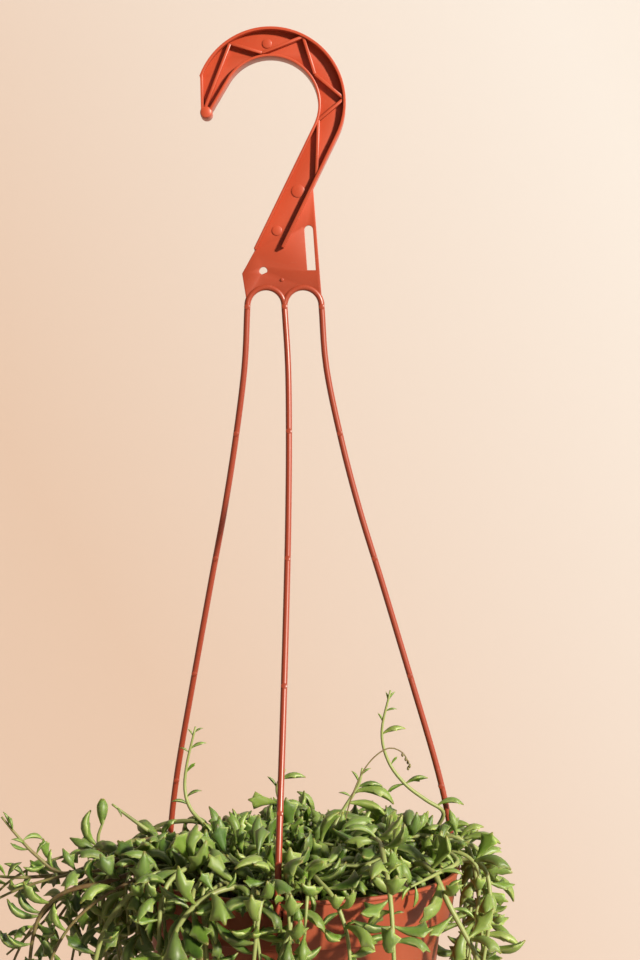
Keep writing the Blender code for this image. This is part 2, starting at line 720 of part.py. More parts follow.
def crown_height(place):
    """How high over the rim leaves reach here: most in the middle, less to the sides and the back."""
    x, y = (place.x - RIM_CENTRE.x) / MM, place.y / MM
    height = CROWN[0][1] if x < CROWN[0][0] else CROWN[-1][1]
    for (x0, low), (x1, high) in zip(CROWN, CROWN[1:]):
        if x0 <= x <= x1:
            height = low + (high - low) * (x - x0) / (x1 - x0)
    return (height - CROWN_SLOPE * y) * MM


def within_crown(place, margin):
    return place.z - RIM_CENTRE.z + margin < crown_height(place)


def stays_on_top(points):
    inside = all((place - RIM_CENTRE).to_2d().length < MOUND_RADIUS for place in points)
    return inside and all(within_crown(place, STEM_COVER) for place in points)


# Plant: leaves, and the room that they need


class Room:
    """The space already taken, as spheres in a grid, so that no two stems' leaves meet."""

    CELL = 0.008

    def __init__(self):
        self.cells = {}

    def key(self, place):
        return tuple(math.floor(c / self.CELL) for c in place)

    def add(self, spheres, owner):
        for place, radius in spheres:
            self.cells.setdefault(self.key(place), []).append((place, radius, owner))

    def is_clear(self, spheres, owner, gap, own_share):
        """Whether the spheres stay a gap from other stems' spheres, and mostly out of their own stem's."""
        for place, radius in spheres:
            i, j, k = self.key(place)
            for cell in [(i + a, j + b, k + c) for a in (-1, 0, 1) for b in (-1, 0, 1) for c in (-1, 0, 1)]:
                for other, other_radius, other_owner in self.cells.get(cell, ()):
                    reach = radius + other_radius
                    limit = reach * own_share if other_owner == owner else reach + gap
                    if (place - other).length_squared < limit * limit:
                        return False
        return True


def clear_of_pot(place, radius):
    """Whether a sphere stays outside the pot, or above its soil."""
    local = place - RIM_CENTRE
    out = math.hypot(local.x, local.y)
    margin = radius + LEAF_GAP
    if local.z > 0:
        nearest = min(max(out, RIM_RADIUS - WALL), RIM_RADIUS + LIP)
        return math.hypot(out - nearest, local.z) > margin or out < RIM_RADIUS - WALL - margin
    if out > pot_radius(local.z):
        if local.z < -POT_HEIGHT:
            return True
        return out > max(pot_radius(local.z), pot_radius(min(0, local.z + margin))) + margin + LIP
    return out < band_radius(local.z) - WALL - margin and local.z > soil_height(out) + margin


# One leaf, as rings of two edges and a keel: share of the length, half width, keel depth, how far the
# edges lift and how far they sweep forwards, all but the share for a leaf of LEAF_LENGTH.
LEAF_RINGS = [
    (0.02, 0.0007, 0.0010, 0.0, 0.0),
    (0.40, 0.0021, 0.0025, 0.0004, 0.0),
    (0.70, 0.0042, 0.0023, 0.0009, 0.0014),
    (0.83, 0.0016, 0.0014, 0.0004, 0.0),
]
# The same leaf as spheres: share of the length, how far aside, radius
LEAF_BALLS = [(0.26, 0.0, 0.0014), (0.43, 0.0, 0.0023), (0.62, 0.0, 0.0027), (0.79, 0.0, 0.0021)]
LEAF_BALLS += [(0.97, 0.0, 0.0008)]
FIN_BALLS = [(0.74, 0.0031, 0.0012), (0.74, -0.0031, 0.0012)]


def along_leaf(leaf, share):
    """The place, the forward way and the upper side at a share of a leaf, which bends in a round arc."""
    start, forward, up, length, bend = leaf
    turned_by = bend * share
    reach = length / bend
    place = start + forward * (reach * math.sin(turned_by)) + up * (reach * (1 - math.cos(turned_by)))
    ahead = forward * math.cos(turned_by) + up * math.sin(turned_by)
    above = up * math.cos(turned_by) - forward * math.sin(turned_by)
    return place, ahead, above


def leaf_spheres(leaf):
    size = leaf[3] / LEAF_LENGTH
    side = leaf[1].cross(leaf[2])
    spheres = []
    for share, aside, radius in LEAF_BALLS + FIN_BALLS:
        place, _, above = along_leaf(leaf, share)
        spheres.append((place + side * aside * size + above * abs(aside) * 0.3 * size, radius * size))
    return spheres


def stem_spheres(line, radii):
    spheres = []
    for (a, r1), (b, r2) in zip(zip(line, radii), zip(line[1:], radii[1:])):
        count = max(1, round((b - a).length / 0.002))
        spheres += [(a.lerp(b, n / count), r1 + (r2 - r1) * n / count) for n in range(count)]
    return spheres


def leaf_choices(place, along, turn, size, draw):
    """Ways that the leaf may face here, the natural one first: out of the stem, then up to the light."""
    world_up = Vector((0, 0, 1))
    side = along.orthogonal().normalized()
    other = along.cross(side)
    for attempt in range(LEAF_TRIES):
        angle = turn + (0 if attempt == 0 else draw.uniform(-1.6, 1.6))
        out = side * math.cos(angle) + other * math.sin(angle)
        lean = draw.uniform(0.25, 0.7)
        forward = (out + along * lean + world_up * draw.uniform(-0.1, 0.35)).normalized()
        light = world_up + along * 0.5 + Vector((0, -0.25, 0))
        up = light - forward * light.dot(forward)
        if up.length < 0.15:
            up = along - forward * along.dot(forward)
        length = LEAF_LENGTH * size * draw.uniform(0.82, 1.12) * (1 if attempt < LEAF_TRIES / 2 else 0.8)
        yield place, forward, up.normalized(), length, draw.uniform(0.7, 1.5)


def stem_radii(line, thickness):
    """The stem's radius at each point: even, and finer towards its tip."""
    last, growth = len(line) - 1, STEM_RADIUS * thickness - TIP_RADIUS
    return [TIP_RADIUS + growth * (1 - (n / last) ** 2.5) for n in range(len(line))]


def chosen_leaf(foot, tip, way, side, length, bend):
    """A leaf given by the way to its nose, tipped to the front, and the side that it bends to."""
    way, tip, side = math.radians(way), math.radians(tip), math.radians(side)
    left = Vector((-math.sin(way), 0, math.cos(way)))
    chord = Vector((math.cos(way) * math.cos(tip), -math.sin(tip), math.sin(way) * math.cos(tip)))
    lift = left * math.cos(side) + chord.cross(left) * math.sin(side)
    half = bend / 2
    forward = chord * math.cos(half) - lift * math.sin(half)
    up = lift * math.cos(half) + chord * math.sin(half)
    return foot, forward, up, length * MM, bend


def leaves_by_hand(name, line, room):
    """A leader's leaves that have a chosen place, as far as each is clear of what is there already."""
    leaves = []
    for share, *shape in BY_HAND.get(name, (1, ()))[1]:
        ahead = share * sum((b - a).length for a, b in zip(line, line[1:]))
        for a, b in zip(line, line[1:]):
            if ahead < (b - a).length:
                break
            ahead -= (b - a).length
        foot = a.lerp(b, ahead / (b - a).length)
        for tip in TIPPING:
            leaf = chosen_leaf(foot, tip, *shape)
            balls = leaf_spheres(leaf)
            if all(clear_of_pot(*ball) for ball in balls) and room.is_clear(balls, name, LEAF_GAP, 0.6):
                room.add(balls, name)
                leaves.append(leaf)
                break
        else:
            print("no room for a leaf by hand", name, share)
    return leaves


def place_leaves(name, line, growth, room, draw):
    """Leaves in a spiral along the stem, each turned until it is clear of what is there already."""
    start, low_size, high_size, _ = growth
    total = sum((b - a).length for a, b in zip(line, line[1:]))
    until = total * BY_HAND.get(name, (1, ()))[0]
    leaves, travelled, due, turn = [], 0.0, total * start, draw.uniform(0, 6.28)
    for a, b in zip(line, line[1:]):
        length = (b - a).length
        while travelled + length >= due and due < until:
            share = due / total
            along = (b - a).normalized()
            place = a.lerp(b, (due - travelled) / length)
            size = low_size + (high_size - low_size) * max(0, (share - start) / (1 - start)) ** 1.6
            turn += math.radians(137.5)
            for leaf in leaf_choices(place, along, turn, size, draw):
                balls = leaf_spheres(leaf)
                fits = all(clear_of_pot(*ball) and within_crown(*ball) for ball in balls)
                if fits and room.is_clear(balls, name, LEAF_GAP, 0.95):
                    room.add(balls, name)
                    leaves.append(leaf)
                    break
            due += LEAF_SPACING * (0.72 + 0.28 * size) * draw.uniform(0.85, 1.15)
        travelled += length
    return leaves


def stem_fits(name, line, radii, room):
    """Whether a stem, past its rooted foot, is clear of the pot, the wires and the stems before it."""
    balls = stem_spheres(line, radii)
    outside = all(clear_of_pot(*ball) for ball in balls[6:])
    return outside and room.is_clear(balls, name, STEM_GAP, 0.0)


def grow_plant():
    """Every stem as (name, line, radii, leaves), with the stems laid first and then their leaves."""
    draw, room, stems = random.Random(7), Room(), []
    for side in WIRE_XS:
        wire = wire_line(side)
        course = wire[:-1] + clip_line(side)
        room.add(stem_spheres(course, [WIRE_RADIUS] * len(course)), "hanger")
        room.add([(place, NUB_RADIUS * 1.3) for place, _ in nub_places(wire)], "hanger")

    def lay(name, points, growth):
        line = smooth(points, STEM_STEP)
        radii = stem_radii(line, growth[3])
        fits = stem_fits(name, line, radii, room)
        if fits:
            room.add(stem_spheres(line, radii), name)
            stems.append((name, line, radii, growth))
        return fits

    for name, (points, growth) in LEADERS.items():
        if not lay(name, [RIM_CENTRE + Vector(p) * MM for p in points], growth):
            print("no room for", name)
    for kind in RINGS:
        for n in range(len(kind[1])):
            for _ in range(60):
                if lay(f"{kind[0]}_{n + 1}", ring_route(kind, n, draw), RING_GROWTH):
                    break
            else:
                print("no room for", kind[0], n + 1)
    for n in range(MOUND_COUNT):
        for _ in range(400):
            points = mound_route(n, draw)
            if stays_on_top(points) and lay(f"mound_{n + 1}", points, MOUND_GROWTH):
                break
        else:
            print("no room for mound", n + 1)
    by_hand = {name: leaves_by_hand(name, line, room) for name, line, _, _ in stems}
    return [
        (name, line, radii, by_hand[name] + place_leaves(name, line, growth, room, draw))
        for name, line, radii, growth in stems
    ]


def leaf_mesh(name, leaf, collection):
    """A fleshy leaf: a narrow foot, a keeled body, two fins swept forwards and a pointed nose."""
    size = leaf[3] / LEAF_LENGTH
    side = leaf[1].cross(leaf[2])
    mesh = bpy.data.meshes.new(name)
    shape = bmesh.new()
    rings = []
    for share, half_width, keel, lift, sweep in LEAF_RINGS:
        place, ahead, above = along_leaf(leaf, share)
        edge = place + (above * lift + ahead * sweep) * size
        aside = side * half_width * size
        corners = (edge + aside, edge - aside, place - above * keel * size)
        rings.append([shape.verts.new(corner) for corner in corners])
    nose = shape.verts.new(along_leaf(leaf, 1.0)[0])
    shape.faces.new(rings[0][::-1])
    for ring, following in zip(rings, rings[1:]):
        for n in range(3):
            m = (n + 1) % 3
            shape.faces.new((ring[n], ring[m], following[m], following[n]))
    for n in range(3):
        shape.faces.new((rings[-1][n], rings[-1][(n + 1) % 3], nose))
    bmesh.ops.triangulate(shape, faces=shape.faces)
    bmesh.ops.recalc_face_normals(shape, faces=shape.faces)
    shape.to_mesh(mesh)
    shape.free()
    return add_object(name, mesh, collection)


def is_one_body(mesh):
    """Whether the mesh is closed and every corner can be reached from the first."""
    shape = bmesh.new()
    shape.from_mesh(mesh)
    shape.verts.ensure_lookup_table()
    reached, waiting = {shape.verts[0]}, [shape.verts[0]]
    while waiting:
        for edge in waiting.pop().link_edges:
            for corner in edge.verts:
                if corner not in reached:
                    reached.add(corner)
                    waiting.append(corner)
    whole = len(reached) == len(shape.verts)
    shape.free()
    return whole and is_closed(mesh)


def make_stem(name, line, radii, leaves, collection, material):
    """One leafy stem, its leaves sunk into it and joined, a little deeper where they don't join at first."""
    for depth in (0, 0.0002, 0.0004, 0.0006):
        stem = tube(f"stem_{name}", line, radii, 0, collection)
        blades = [leaf_mesh("leaf", (leaf[0] - leaf[1] * depth, *leaf[1:]), collection) for leaf in leaves]
        boolean(stem, blades, "UNION")
        if is_one_body(stem.data):
            break
        bpy.data.objects.remove(stem)
    stem.data.materials.clear()
    stem.data.materials.append(material)


def main():
    clear_scene()
    parts = new_collection("potted string of dolphins")
    plastic = make_material("terracotta plastic", (0.50, 0.115, 0.060), 0.38)
    compost = make_material("compost", (0.030, 0.020, 0.014), 0.95)
    green = make_material("succulent green", (0.105, 0.220, 0.060), 0.42)
    make_hanger(parts, plastic)
    make_pot(parts, plastic)
    stems = grow_plant()
    holes = [(line[0] + Vector((0, 0, ROOT_DEPTH)), radii[0] + 0.0005) for _, line, radii, _ in stems]
    make_soil(parts, compost, holes)
    for name, line, radii, leaves in stems:
        make_stem(name, line, radii, leaves, parts, green)
    print(len(stems), "stems with", sum(len(leaves) for *_, leaves in stems), "leaves")


main()
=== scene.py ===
import math
import random
from collections import namedtuple

import bpy
from mathutils import Matrix, Vector


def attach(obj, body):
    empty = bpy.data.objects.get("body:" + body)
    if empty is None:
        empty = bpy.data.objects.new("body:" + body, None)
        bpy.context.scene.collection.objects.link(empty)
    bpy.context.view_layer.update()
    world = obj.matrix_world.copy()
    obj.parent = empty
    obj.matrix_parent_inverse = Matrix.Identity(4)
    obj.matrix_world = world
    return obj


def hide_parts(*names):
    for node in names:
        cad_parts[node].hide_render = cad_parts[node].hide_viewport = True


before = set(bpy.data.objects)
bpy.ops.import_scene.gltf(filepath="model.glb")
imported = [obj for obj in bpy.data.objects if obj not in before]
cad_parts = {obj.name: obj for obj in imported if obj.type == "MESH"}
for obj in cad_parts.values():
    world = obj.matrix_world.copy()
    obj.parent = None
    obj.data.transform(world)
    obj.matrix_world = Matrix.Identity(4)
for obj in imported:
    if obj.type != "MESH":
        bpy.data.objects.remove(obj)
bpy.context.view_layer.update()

# metres, +Z up; the hook hangs by the origin, and the plant is laid out from the middle of the pot's rim
rimMiddle = Vector((0.0115, 0.0, -0.371))
worldUp = Vector((0, 0, 1))
mm = 0.001
goldenAngle = 137.5
wholeTurn = 6.28  # near enough for a turn drawn at random


# the pot and the soil, whose measures the hanger and the plant follow too

pot = {
    "rim": 0.075,
    "height": 0.115,
    "wall": 0.0014,
    "bandHeight": 0.022,
    "bandDraft": math.tan(math.radians(8.5)),
    "bodyTop": 0.0672,
    "bodyDraft": math.tan(math.radians(6.5)),
    "lip": 0.0007,
    "floor": 0.0018,
    "drains": 6,
    "drainCircle": 0.036,
    "drainRadius": 0.004,
    "steps": 128,
}

soil = {
    "crown": -0.005,
    "edge": -0.010,
    "gap": 0.0004,
    "rootDepth": 0.006,
    "sprout": 0.003,
    "rings": 14,
    "steps": 72,
    "crumbs": 0.006,
    "heave": 0.003,
}


def onRim(degrees, radius, height):
    turn = math.radians(degrees)  # 0 at the front, 90 at the right
    return rimMiddle + Vector((radius * math.sin(turn), -radius * math.cos(turn), height))


def fromRim(place):
    return rimMiddle + Vector(place) * mm


def bandRadius(height):
    return pot["rim"] + height * pot["bandDraft"]


def bodyRadius(height):
    return pot["bodyTop"] + (height + pot["bandHeight"]) * pot["bodyDraft"]


def potRadius(height):
    return bandRadius(height) if height > -pot["bandHeight"] else bodyRadius(height)


def soilHeight(radius):
    return soil["crown"] + (soil["edge"] - soil["crown"]) * (radius / pot["rim"]) ** 2


# lines of points


def smoothLine(points, step, finer=1):
    ends = [2 * points[0] - points[1], *points, 2 * points[-1] - points[-2]]
    line = [points[0].copy()]
    for a, b, c, d in zip(ends, ends[1:], ends[2:], ends[3:]):
        bow, twist = 2 * a - 5 * b + 4 * c - d, 3 * b - a - 3 * c + d
        count = max(1, round((c - b).length / step)) * finer
        for n in range(1, count + 1):
            t = n / count
            line.append(0.5 * (2 * b + (c - a) * t + bow * t**2 + twist * t**3))
    return line


def arcPoints(x, z, radius, start, end, steps):
    angles = [math.radians(start + (end - start) * n / steps) for n in range(steps + 1)]
    return [(x + radius * math.cos(a), z + radius * math.sin(a)) for a in angles]


def lengthOf(line):
    return sum((b - a).length for a, b in zip(line, line[1:]))


def alongLine(line, share):
    ahead = share * lengthOf(line)
    for n, (a, b) in enumerate(zip(line, line[1:])):
        if ahead < (b - a).length:
            break
        ahead -= (b - a).length
    part = ahead / (b - a).length
    return a.lerp(b, part), n + part


# small helpers round Blender's own operators


def deselectAll():
    if bpy.context.object and bpy.context.object.mode != "OBJECT":
        bpy.ops.object.mode_set(mode="OBJECT")
    bpy.ops.object.select_all(action="DESELECT")


def selectOnly(piece):
    deselectAll()
    piece.select_set(True)
    bpy.context.view_layer.objects.active = piece


def applyAll(piece):
    selectOnly(piece)
    for modifier in list(piece.modifiers):
        bpy.ops.object.modifier_apply(modifier=modifier.name)


def settle(piece):
    selectOnly(piece)
    bpy.ops.object.transform_apply(location=True, rotation=True, scale=True)


def remove(piece):
    selectOnly(piece)
    bpy.ops.object.delete()


def joinAll(pieces, name):
    deselectAll()
    for piece in pieces:
        piece.select_set(True)
    bpy.context.view_layer.objects.active = pieces[0]
    if len(pieces) > 1:
        bpy.ops.object.join()
    joined = bpy.context.object
    joined.name = name
    joined.data.name = name
    return joined


def finish(piece, material, angle=None):
    selectOnly(piece)
    if angle is None:
        bpy.ops.object.shade_smooth()
    else:
        bpy.ops.object.shade_smooth_by_angle(angle=math.radians(angle))
    piece.data.materials.clear()
    piece.data.materials.append(material)


def primitiveAt(place, add, **settings):
    # placed in its mesh, so that its object stays at the origin
    deselectAll()
    add(**settings)
    piece = bpy.context.object
    piece.data.transform(place)
    return piece


def editAll(piece):
    selectOnly(piece)
    bpy.ops.object.mode_set(mode="EDIT")
    bpy.ops.mesh.select_all(action="SELECT")


def selectWhere(piece, test):
    bpy.ops.object.mode_set(mode="EDIT")
    bpy.ops.mesh.select_all(action="DESELECT")
    bpy.ops.object.mode_set(mode="OBJECT")
    for corner in piece.data.vertices:
        corner.select = test(corner.co)
    bpy.ops.object.mode_set(mode="EDIT")


def extrudeBy(x, y, z):
    bpy.ops.mesh.extrude_region_move(TRANSFORM_OT_translate={"value": (x, y, z)})


def closeUp(piece, nearby):
    editAll(piece)
    bpy.ops.mesh.remove_doubles(threshold=nearby)
    bpy.ops.mesh.normals_make_consistent(inside=False)
    bpy.ops.object.mode_set(mode="OBJECT")


def markPoints(piece, name, values=()):
    mark = piece.data.attributes.new(name, "FLOAT", "POINT")
    for spot, value in zip(mark.data, values):
        spot.value = value


def curveThrough(name, lines, closed):
    deselectAll()
    bpy.ops.curve.primitive_bezier_curve_add()
    curve = bpy.context.object
    curve.name = name
    curve.data.splines.clear()
    for line in lines:
        path = curve.data.splines.new("POLY")
        path.points.add(len(line) - 1)
        for point, place in zip(path.points, line):
            point.co = (*place, 1)
        path.use_cyclic_u = closed
    return curve


def toMesh(curve):
    selectOnly(curve)
    bpy.ops.object.convert(target="MESH")
    return bpy.context.object


def rod(name, line, radii, sides):
    curve = curveThrough(name, [line], False)
    for point, radius in zip(curve.data.splines[0].points, radii):
        point.radius = radius
    curve.data.bevel_depth = 1
    curve.data.bevel_resolution = sides // 2 - 2
    curve.data.use_fill_caps = True
    made = toMesh(curve)
    closeUp(made, 0.000002)
    return made


# materials


class Skin:
    # a new material, whose nodes are made and fed in one go

    def __init__(self, name):
        self.material = bpy.data.materials.new(name)
        self.material.use_nodes = True
        self.tree = self.material.node_tree
        self.shader = self.tree.nodes["Principled BSDF"]
        self.place = self.add("TexCoord").outputs["Object"]

    def feed(self, socket, value):
        if isinstance(value, bpy.types.NodeSocket):
            self.tree.links.new(value, socket)
        elif socket.type == "RGBA":
            socket.default_value = (*value, 1)
        else:
            socket.default_value = value

    def add(self, kind, **settings):
        # a small first letter sets the node itself, a capital one its socket
        node = self.tree.nodes.new("ShaderNode" + kind)
        for key, value in settings.items():
            if key[0].islower():
                setattr(node, key, value)
            else:
                self.feed(node.inputs[key.replace("_", " ")], value)
        return node

    def dress(self, **settings):
        for key, value in settings.items():
            self.feed(self.shader.inputs[key.replace("_", " ")], value)
        return self.material

    def attribute(self, name):
        return self.add("Attribute", attribute_name=name).outputs["Fac"]

    def noise(self, scale, detail, **settings):
        return self.add("TexNoise", Vector=self.place, Scale=scale, Detail=detail, **settings).outputs["Fac"]

    def reckon(self, operation, *values, kind="Math"):
        node = self.add(kind, operation=operation)
        for socket, value in zip(node.inputs, values):
            self.feed(socket, value)
        return node.outputs["Value"]

    def between(self, value, **limits):
        return self.add("MapRange", Value=value, **limits).outputs[0]

    def ramp(self, value, stops):
        node = self.add("ValToRGB", Fac=value)
        bands = node.color_ramp.elements
        while len(bands) > 1:
            bands.remove(bands[-1])
        bands[0].position, bands[0].color = stops[0][0], (*stops[0][1], 1)
        for share, colour in stops[1:]:
            bands.new(share).color = (*colour, 1)
        return node.outputs["Color"]

    def blend(self, share, colour, other):
        node = self.add("Mix", data_type="RGBA", Factor=share)
        self.feed(node.inputs[6], colour)
        self.feed(node.inputs[7], other)
        return node.outputs[2]

    def roughen(self, height, strength, distance):
        bump = self.add("Bump", Height=height, Strength=strength, Distance=distance)
        self.dress(Normal=bump.outputs["Normal"])


leafLook = {
    "deep": (0.034, 0.078, 0.006),
    "green": (0.108, 0.188, 0.020),
    "fresh": (0.190, 0.258, 0.052),
    "mottleScale": 300.0,
    "mottle": 0.44,
    "toneShift": 0.22,
    "cool": (0.066, 0.150, 0.032),
    "coolTurn": 7.3,
    "coolFrom": 0.45,
    "coolMost": 0.5,
    "petiole": (0.235, 0.272, 0.080),
    "petioleReach": 0.34,
    "petioleMost": 0.75,
    "bloom": (0.21, 0.27, 0.09),
    "bloomMost": 0.35,
    # the fins' edges: partly their own paler yellow-green, partly painted rim light
    "margin": (0.33, 0.38, 0.15),
    "marginPower": 2.2,
    "marginMost": 0.75,
    "tip": (0.180, 0.110, 0.040),
    "tipFrom": 0.90,
    "tipMost": 0.6,
    "poreScale": 2600.0,
    "pores": 0.12,
    "smoothest": 0.36,
    "roughest": 0.60,
    "through": 0.5,
    "throughTint": (0.7, 1.0, 0.15),
    "throughDepth": 0.0032,
}


def leafSkin(look):
    skin = Skin("leafSkin")
    tone, reach = skin.attribute("tone"), skin.attribute("reach")
    mottle = skin.noise(look["mottleScale"], 4.0)
    shifted = skin.reckon("SUBTRACT", tone, look["toneShift"])
    lightness = skin.reckon("MULTIPLY_ADD", mottle, look["mottle"], shifted)
    colour = skin.ramp(lightness, [(0.0, look["deep"]), (0.5, look["green"]), (1.0, look["fresh"])])
    # some leaves are blue-green
    chance = skin.reckon("FRACT", skin.reckon("MULTIPLY", tone, look["coolTurn"]))
    cool = skin.between(chance, From_Min=look["coolFrom"], To_Max=look["coolMost"])
    colour = skin.blend(cool, colour, look["cool"])
    # the stalk end is paler
    stalk = skin.between(reach, From_Max=look["petioleReach"], To_Min=look["petioleMost"], To_Max=0.0)
    colour = skin.blend(stalk, colour, look["petiole"])
    # the keel is paler than the back
    keel = skin.reckon("MULTIPLY", skin.attribute("belly"), look["bloomMost"])
    colour = skin.blend(keel, colour, look["bloom"])
    # so are the fins' edges: partly their own yellow-green, partly painted rim light
    edge = skin.reckon("POWER", skin.attribute("margin"), look["marginPower"])
    colour = skin.blend(skin.reckon("MULTIPLY", edge, look["marginMost"]), colour, look["margin"])
    # the very tip dries brown
    dried = skin.between(reach, From_Min=look["tipFrom"], To_Max=look["tipMost"])
    colour = skin.blend(dried, colour, look["tip"])
    skin.roughen(skin.noise(look["poreScale"], 2.0), look["pores"], 0.0002)
    return skin.dress(
        Base_Color=colour,
        Roughness=skin.between(mottle, To_Min=look["smoothest"], To_Max=look["roughest"]),
        Subsurface_Weight=look["through"],
        Subsurface_Radius=look["throughTint"],
        Subsurface_Scale=look["throughDepth"],
        Specular_IOR_Level=0.5,
    )


stemLook = {
    "brown": (0.110, 0.045, 0.020),
    "old": (0.150, 0.120, 0.045),
    "young": (0.225, 0.270, 0.085),
    "streakScale": 260.0,
    "streaks": 0.7,
    "roughness": 0.5,
    "through": 0.12,
    "throughDepth": 0.0015,
}


def stemSkin(look):
    skin = Skin("stemSkin")
    streak = skin.noise(look["streakScale"], 4.0)
    age = skin.reckon("MULTIPLY_ADD", streak, look["streaks"], skin.attribute("reach"))
    skin.roughen(streak, 0.2, 0.0003)
    return skin.dress(
        Base_Color=skin.ramp(age, [(0.05, look["brown"]), (0.35, look["old"]), (0.80, look["young"])]),
        Roughness=look["roughness"],
        Subsurface_Weight=look["through"],
        Subsurface_Scale=look["throughDepth"],
    )


hangerLook = {
    "dark": (0.340, 0.046, 0.017),
    "light": (0.435, 0.066, 0.025),
    # painted shade: darker, browner plastic from the plate down over the wires
    "thin": (0.245, 0.039, 0.017),
    "thinFrom": -0.070,
    "thinTo": -0.122,
    "dust": (0.62, 0.40, 0.30),
    "dustAmount": 0.18,
    "cloudScale": 22.0,
    "dustScale": 320.0,
    "grainScale": 900.0,
    "grain": 0.06,
    "roughness": 0.34,
}

potLook = {
    "dark": (0.245, 0.046, 0.016),
    "light": (0.305, 0.067, 0.028),
    "dust": (0.60, 0.42, 0.33),
    "dustAmount": 0.30,
    "cloudScale": 30.0,
    "dustScale": 210.0,
    "grainScale": 700.0,
    "grain": 0.10,
    "roughness": 0.46,
}


def mouldedPlastic(name, look):
    skin = Skin(name)
    cloud = skin.noise(look["cloudScale"], 5.0)
    colour = skin.ramp(cloud, [(0.3, look["dark"]), (0.7, look["light"])])
    if "thin" in look:
        # painted shade: the plate and the wires below it are darker and browner
        height = skin.add("SeparateXYZ", Vector=skin.place).outputs["Z"]
        down = skin.between(height, From_Min=look["thinFrom"], From_Max=look["thinTo"])
        colour = skin.blend(down, colour, look["thin"])
    dust = skin.noise(look["dustScale"], 8.0, Roughness=0.7)
    specks = skin.ramp(dust, [(0.62, (0, 0, 0)), (0.80, (look["dustAmount"],) * 3)])
    skin.roughen(skin.noise(look["grainScale"], 3.0), look["grain"], 0.0002)
    return skin.dress(
        Base_Color=skin.blend(specks, colour, look["dust"]),
        Roughness=skin.between(cloud, To_Min=look["roughness"] - 0.08, To_Max=look["roughness"] + 0.12),
        Subsurface_Weight=0.05,
        Subsurface_Scale=0.001,
    )


compostLook = {
    "dark": (0.016, 0.009, 0.005),
    "peat": (0.065, 0.034, 0.018),
    "fibre": (0.130, 0.075, 0.040),
    "crumbScale": 330.0,
    "roughness": 0.95,
}


def compostSkin(look):
    skin = Skin("compost")
    crumb = skin.noise(look["crumbScale"], 8.0, Roughness=0.75)
    browns = skin.ramp(crumb, [(0.30, look["dark"]), (0.55, look["peat"]), (0.80, look["fibre"])])
    skin.roughen(crumb, 0.9, 0.0015)
    return skin.dress(Base_Color=browns, Roughness=look["roughness"])


gritLook = {
    "pale": (0.62, 0.56, 0.47),
    "brown": (0.20, 0.11, 0.06),
    "patchScale": 95.0,
    "pitScale": 1500.0,
    "roughness": 0.85,
}


def gritSkin(look):
    skin = Skin("gritStone")
    tints = skin.ramp(skin.noise(look["patchScale"], 2.0), [(0.42, look["brown"]), (0.58, look["pale"])])
    skin.roughen(skin.noise(look["pitScale"], 3.0), 0.5, 0.0004)
    return skin.dress(Base_Color=tints, Roughness=look["roughness"])


skins = {
    "leaf": leafSkin(leafLook),
    "stem": stemSkin(stemLook),
    "hanger": mouldedPlastic("hangerPlastic", hangerLook),
    "pot": mouldedPlastic("potPlastic", potLook),
    "compost": compostSkin(compostLook),
    "grit": gritSkin(gritLook),
}
print("materials ready")


# the camera, the light and the pale paper sweep

camera = {"place": (0.0228, -0.830, -0.1944), "lens": 67.5, "sensor": 36.0}

studio = {
    "floorHeight": -1.10,
    "floorSize": 40.0,
    "wallDistance": 1.7,
    "wallHeight": 6.0,
    "sweep": 0.22,
    "sweepSteps": 16,
    # painted light and shade on the paper: the first tint at the lower left, the second at the upper right
    "paperLow": (0.417, 0.330, 0.279),
    "paperPaintedLight": (0.492, 0.486, 0.490),
    "paperPaintedLightSlope": (0.889, 0.0, 0.534),
    "paperPaintedLightRange": (-0.45, 0.55),
    "paperRoughness": 0.9,
    "keyFrom": (0.66, -0.68, 0.33),
    "keyWidth": 5.0,
    "keyPower": 7.1,
    "keyTint": (1.0, 0.90, 0.77),
    "fillPlace": (1.6, -0.9, 1.1),
    "fillAim": (0.2, 0.8, -0.2),
    "fillSize": 1.4,
    "fillPower": 9.0,
    "fillTint": (1.0, 0.93, 0.86),
    "air": (1.0, 0.93, 0.86),
    "airPower": 0.12,
    "airSeen": 0.75,
    "colours": "Standard",
}


def placeCamera():
    bpy.ops.object.camera_add(location=camera["place"], rotation=(math.radians(90), 0, 0))
    eye = bpy.context.object
    eye.data.lens = camera["lens"]
    eye.data.sensor_width = camera["sensor"]
    bpy.context.scene.camera = eye


def keyLight():
    bpy.ops.object.light_add(type="SUN")
    lamp = bpy.context.object
    lamp.name = "keyLight"
    lamp.data.energy = studio["keyPower"]
    lamp.data.angle = math.radians(studio["keyWidth"])
    lamp.data.color = studio["keyTint"]
    lamp.rotation_euler = Vector(studio["keyFrom"]).to_track_quat("Z", "Y").to_euler()


def fillLight():
    bpy.ops.object.light_add(type="AREA", location=studio["fillPlace"])
    lamp = bpy.context.object
    lamp.name = "fillLight"
    lamp.data.shape = "DISK"
    lamp.data.size = studio["fillSize"]
    lamp.data.energy = studio["fillPower"]
    lamp.data.color = studio["fillTint"]
    aim = Vector(studio["fillAim"]) - Vector(studio["fillPlace"])
    lamp.rotation_euler = aim.to_track_quat("-Z", "Y").to_euler()


def paperSkin():
    # painted light and shade: the paper is paler towards the upper right, where the light comes from, and darker
    # towards the lower left
    skin = Skin("paper")
    slope = skin.reckon("DOT_PRODUCT", skin.place, studio["paperPaintedLightSlope"], kind="VectorMath")
    low, high = studio["paperPaintedLightRange"]
    spread = skin.between(slope, From_Min=low, From_Max=high)
    paintedLightTint = skin.blend(spread, studio["paperLow"], studio["paperPaintedLight"])
    return skin.dress(Base_Color=paintedLightTint, Roughness=studio["paperRoughness"])


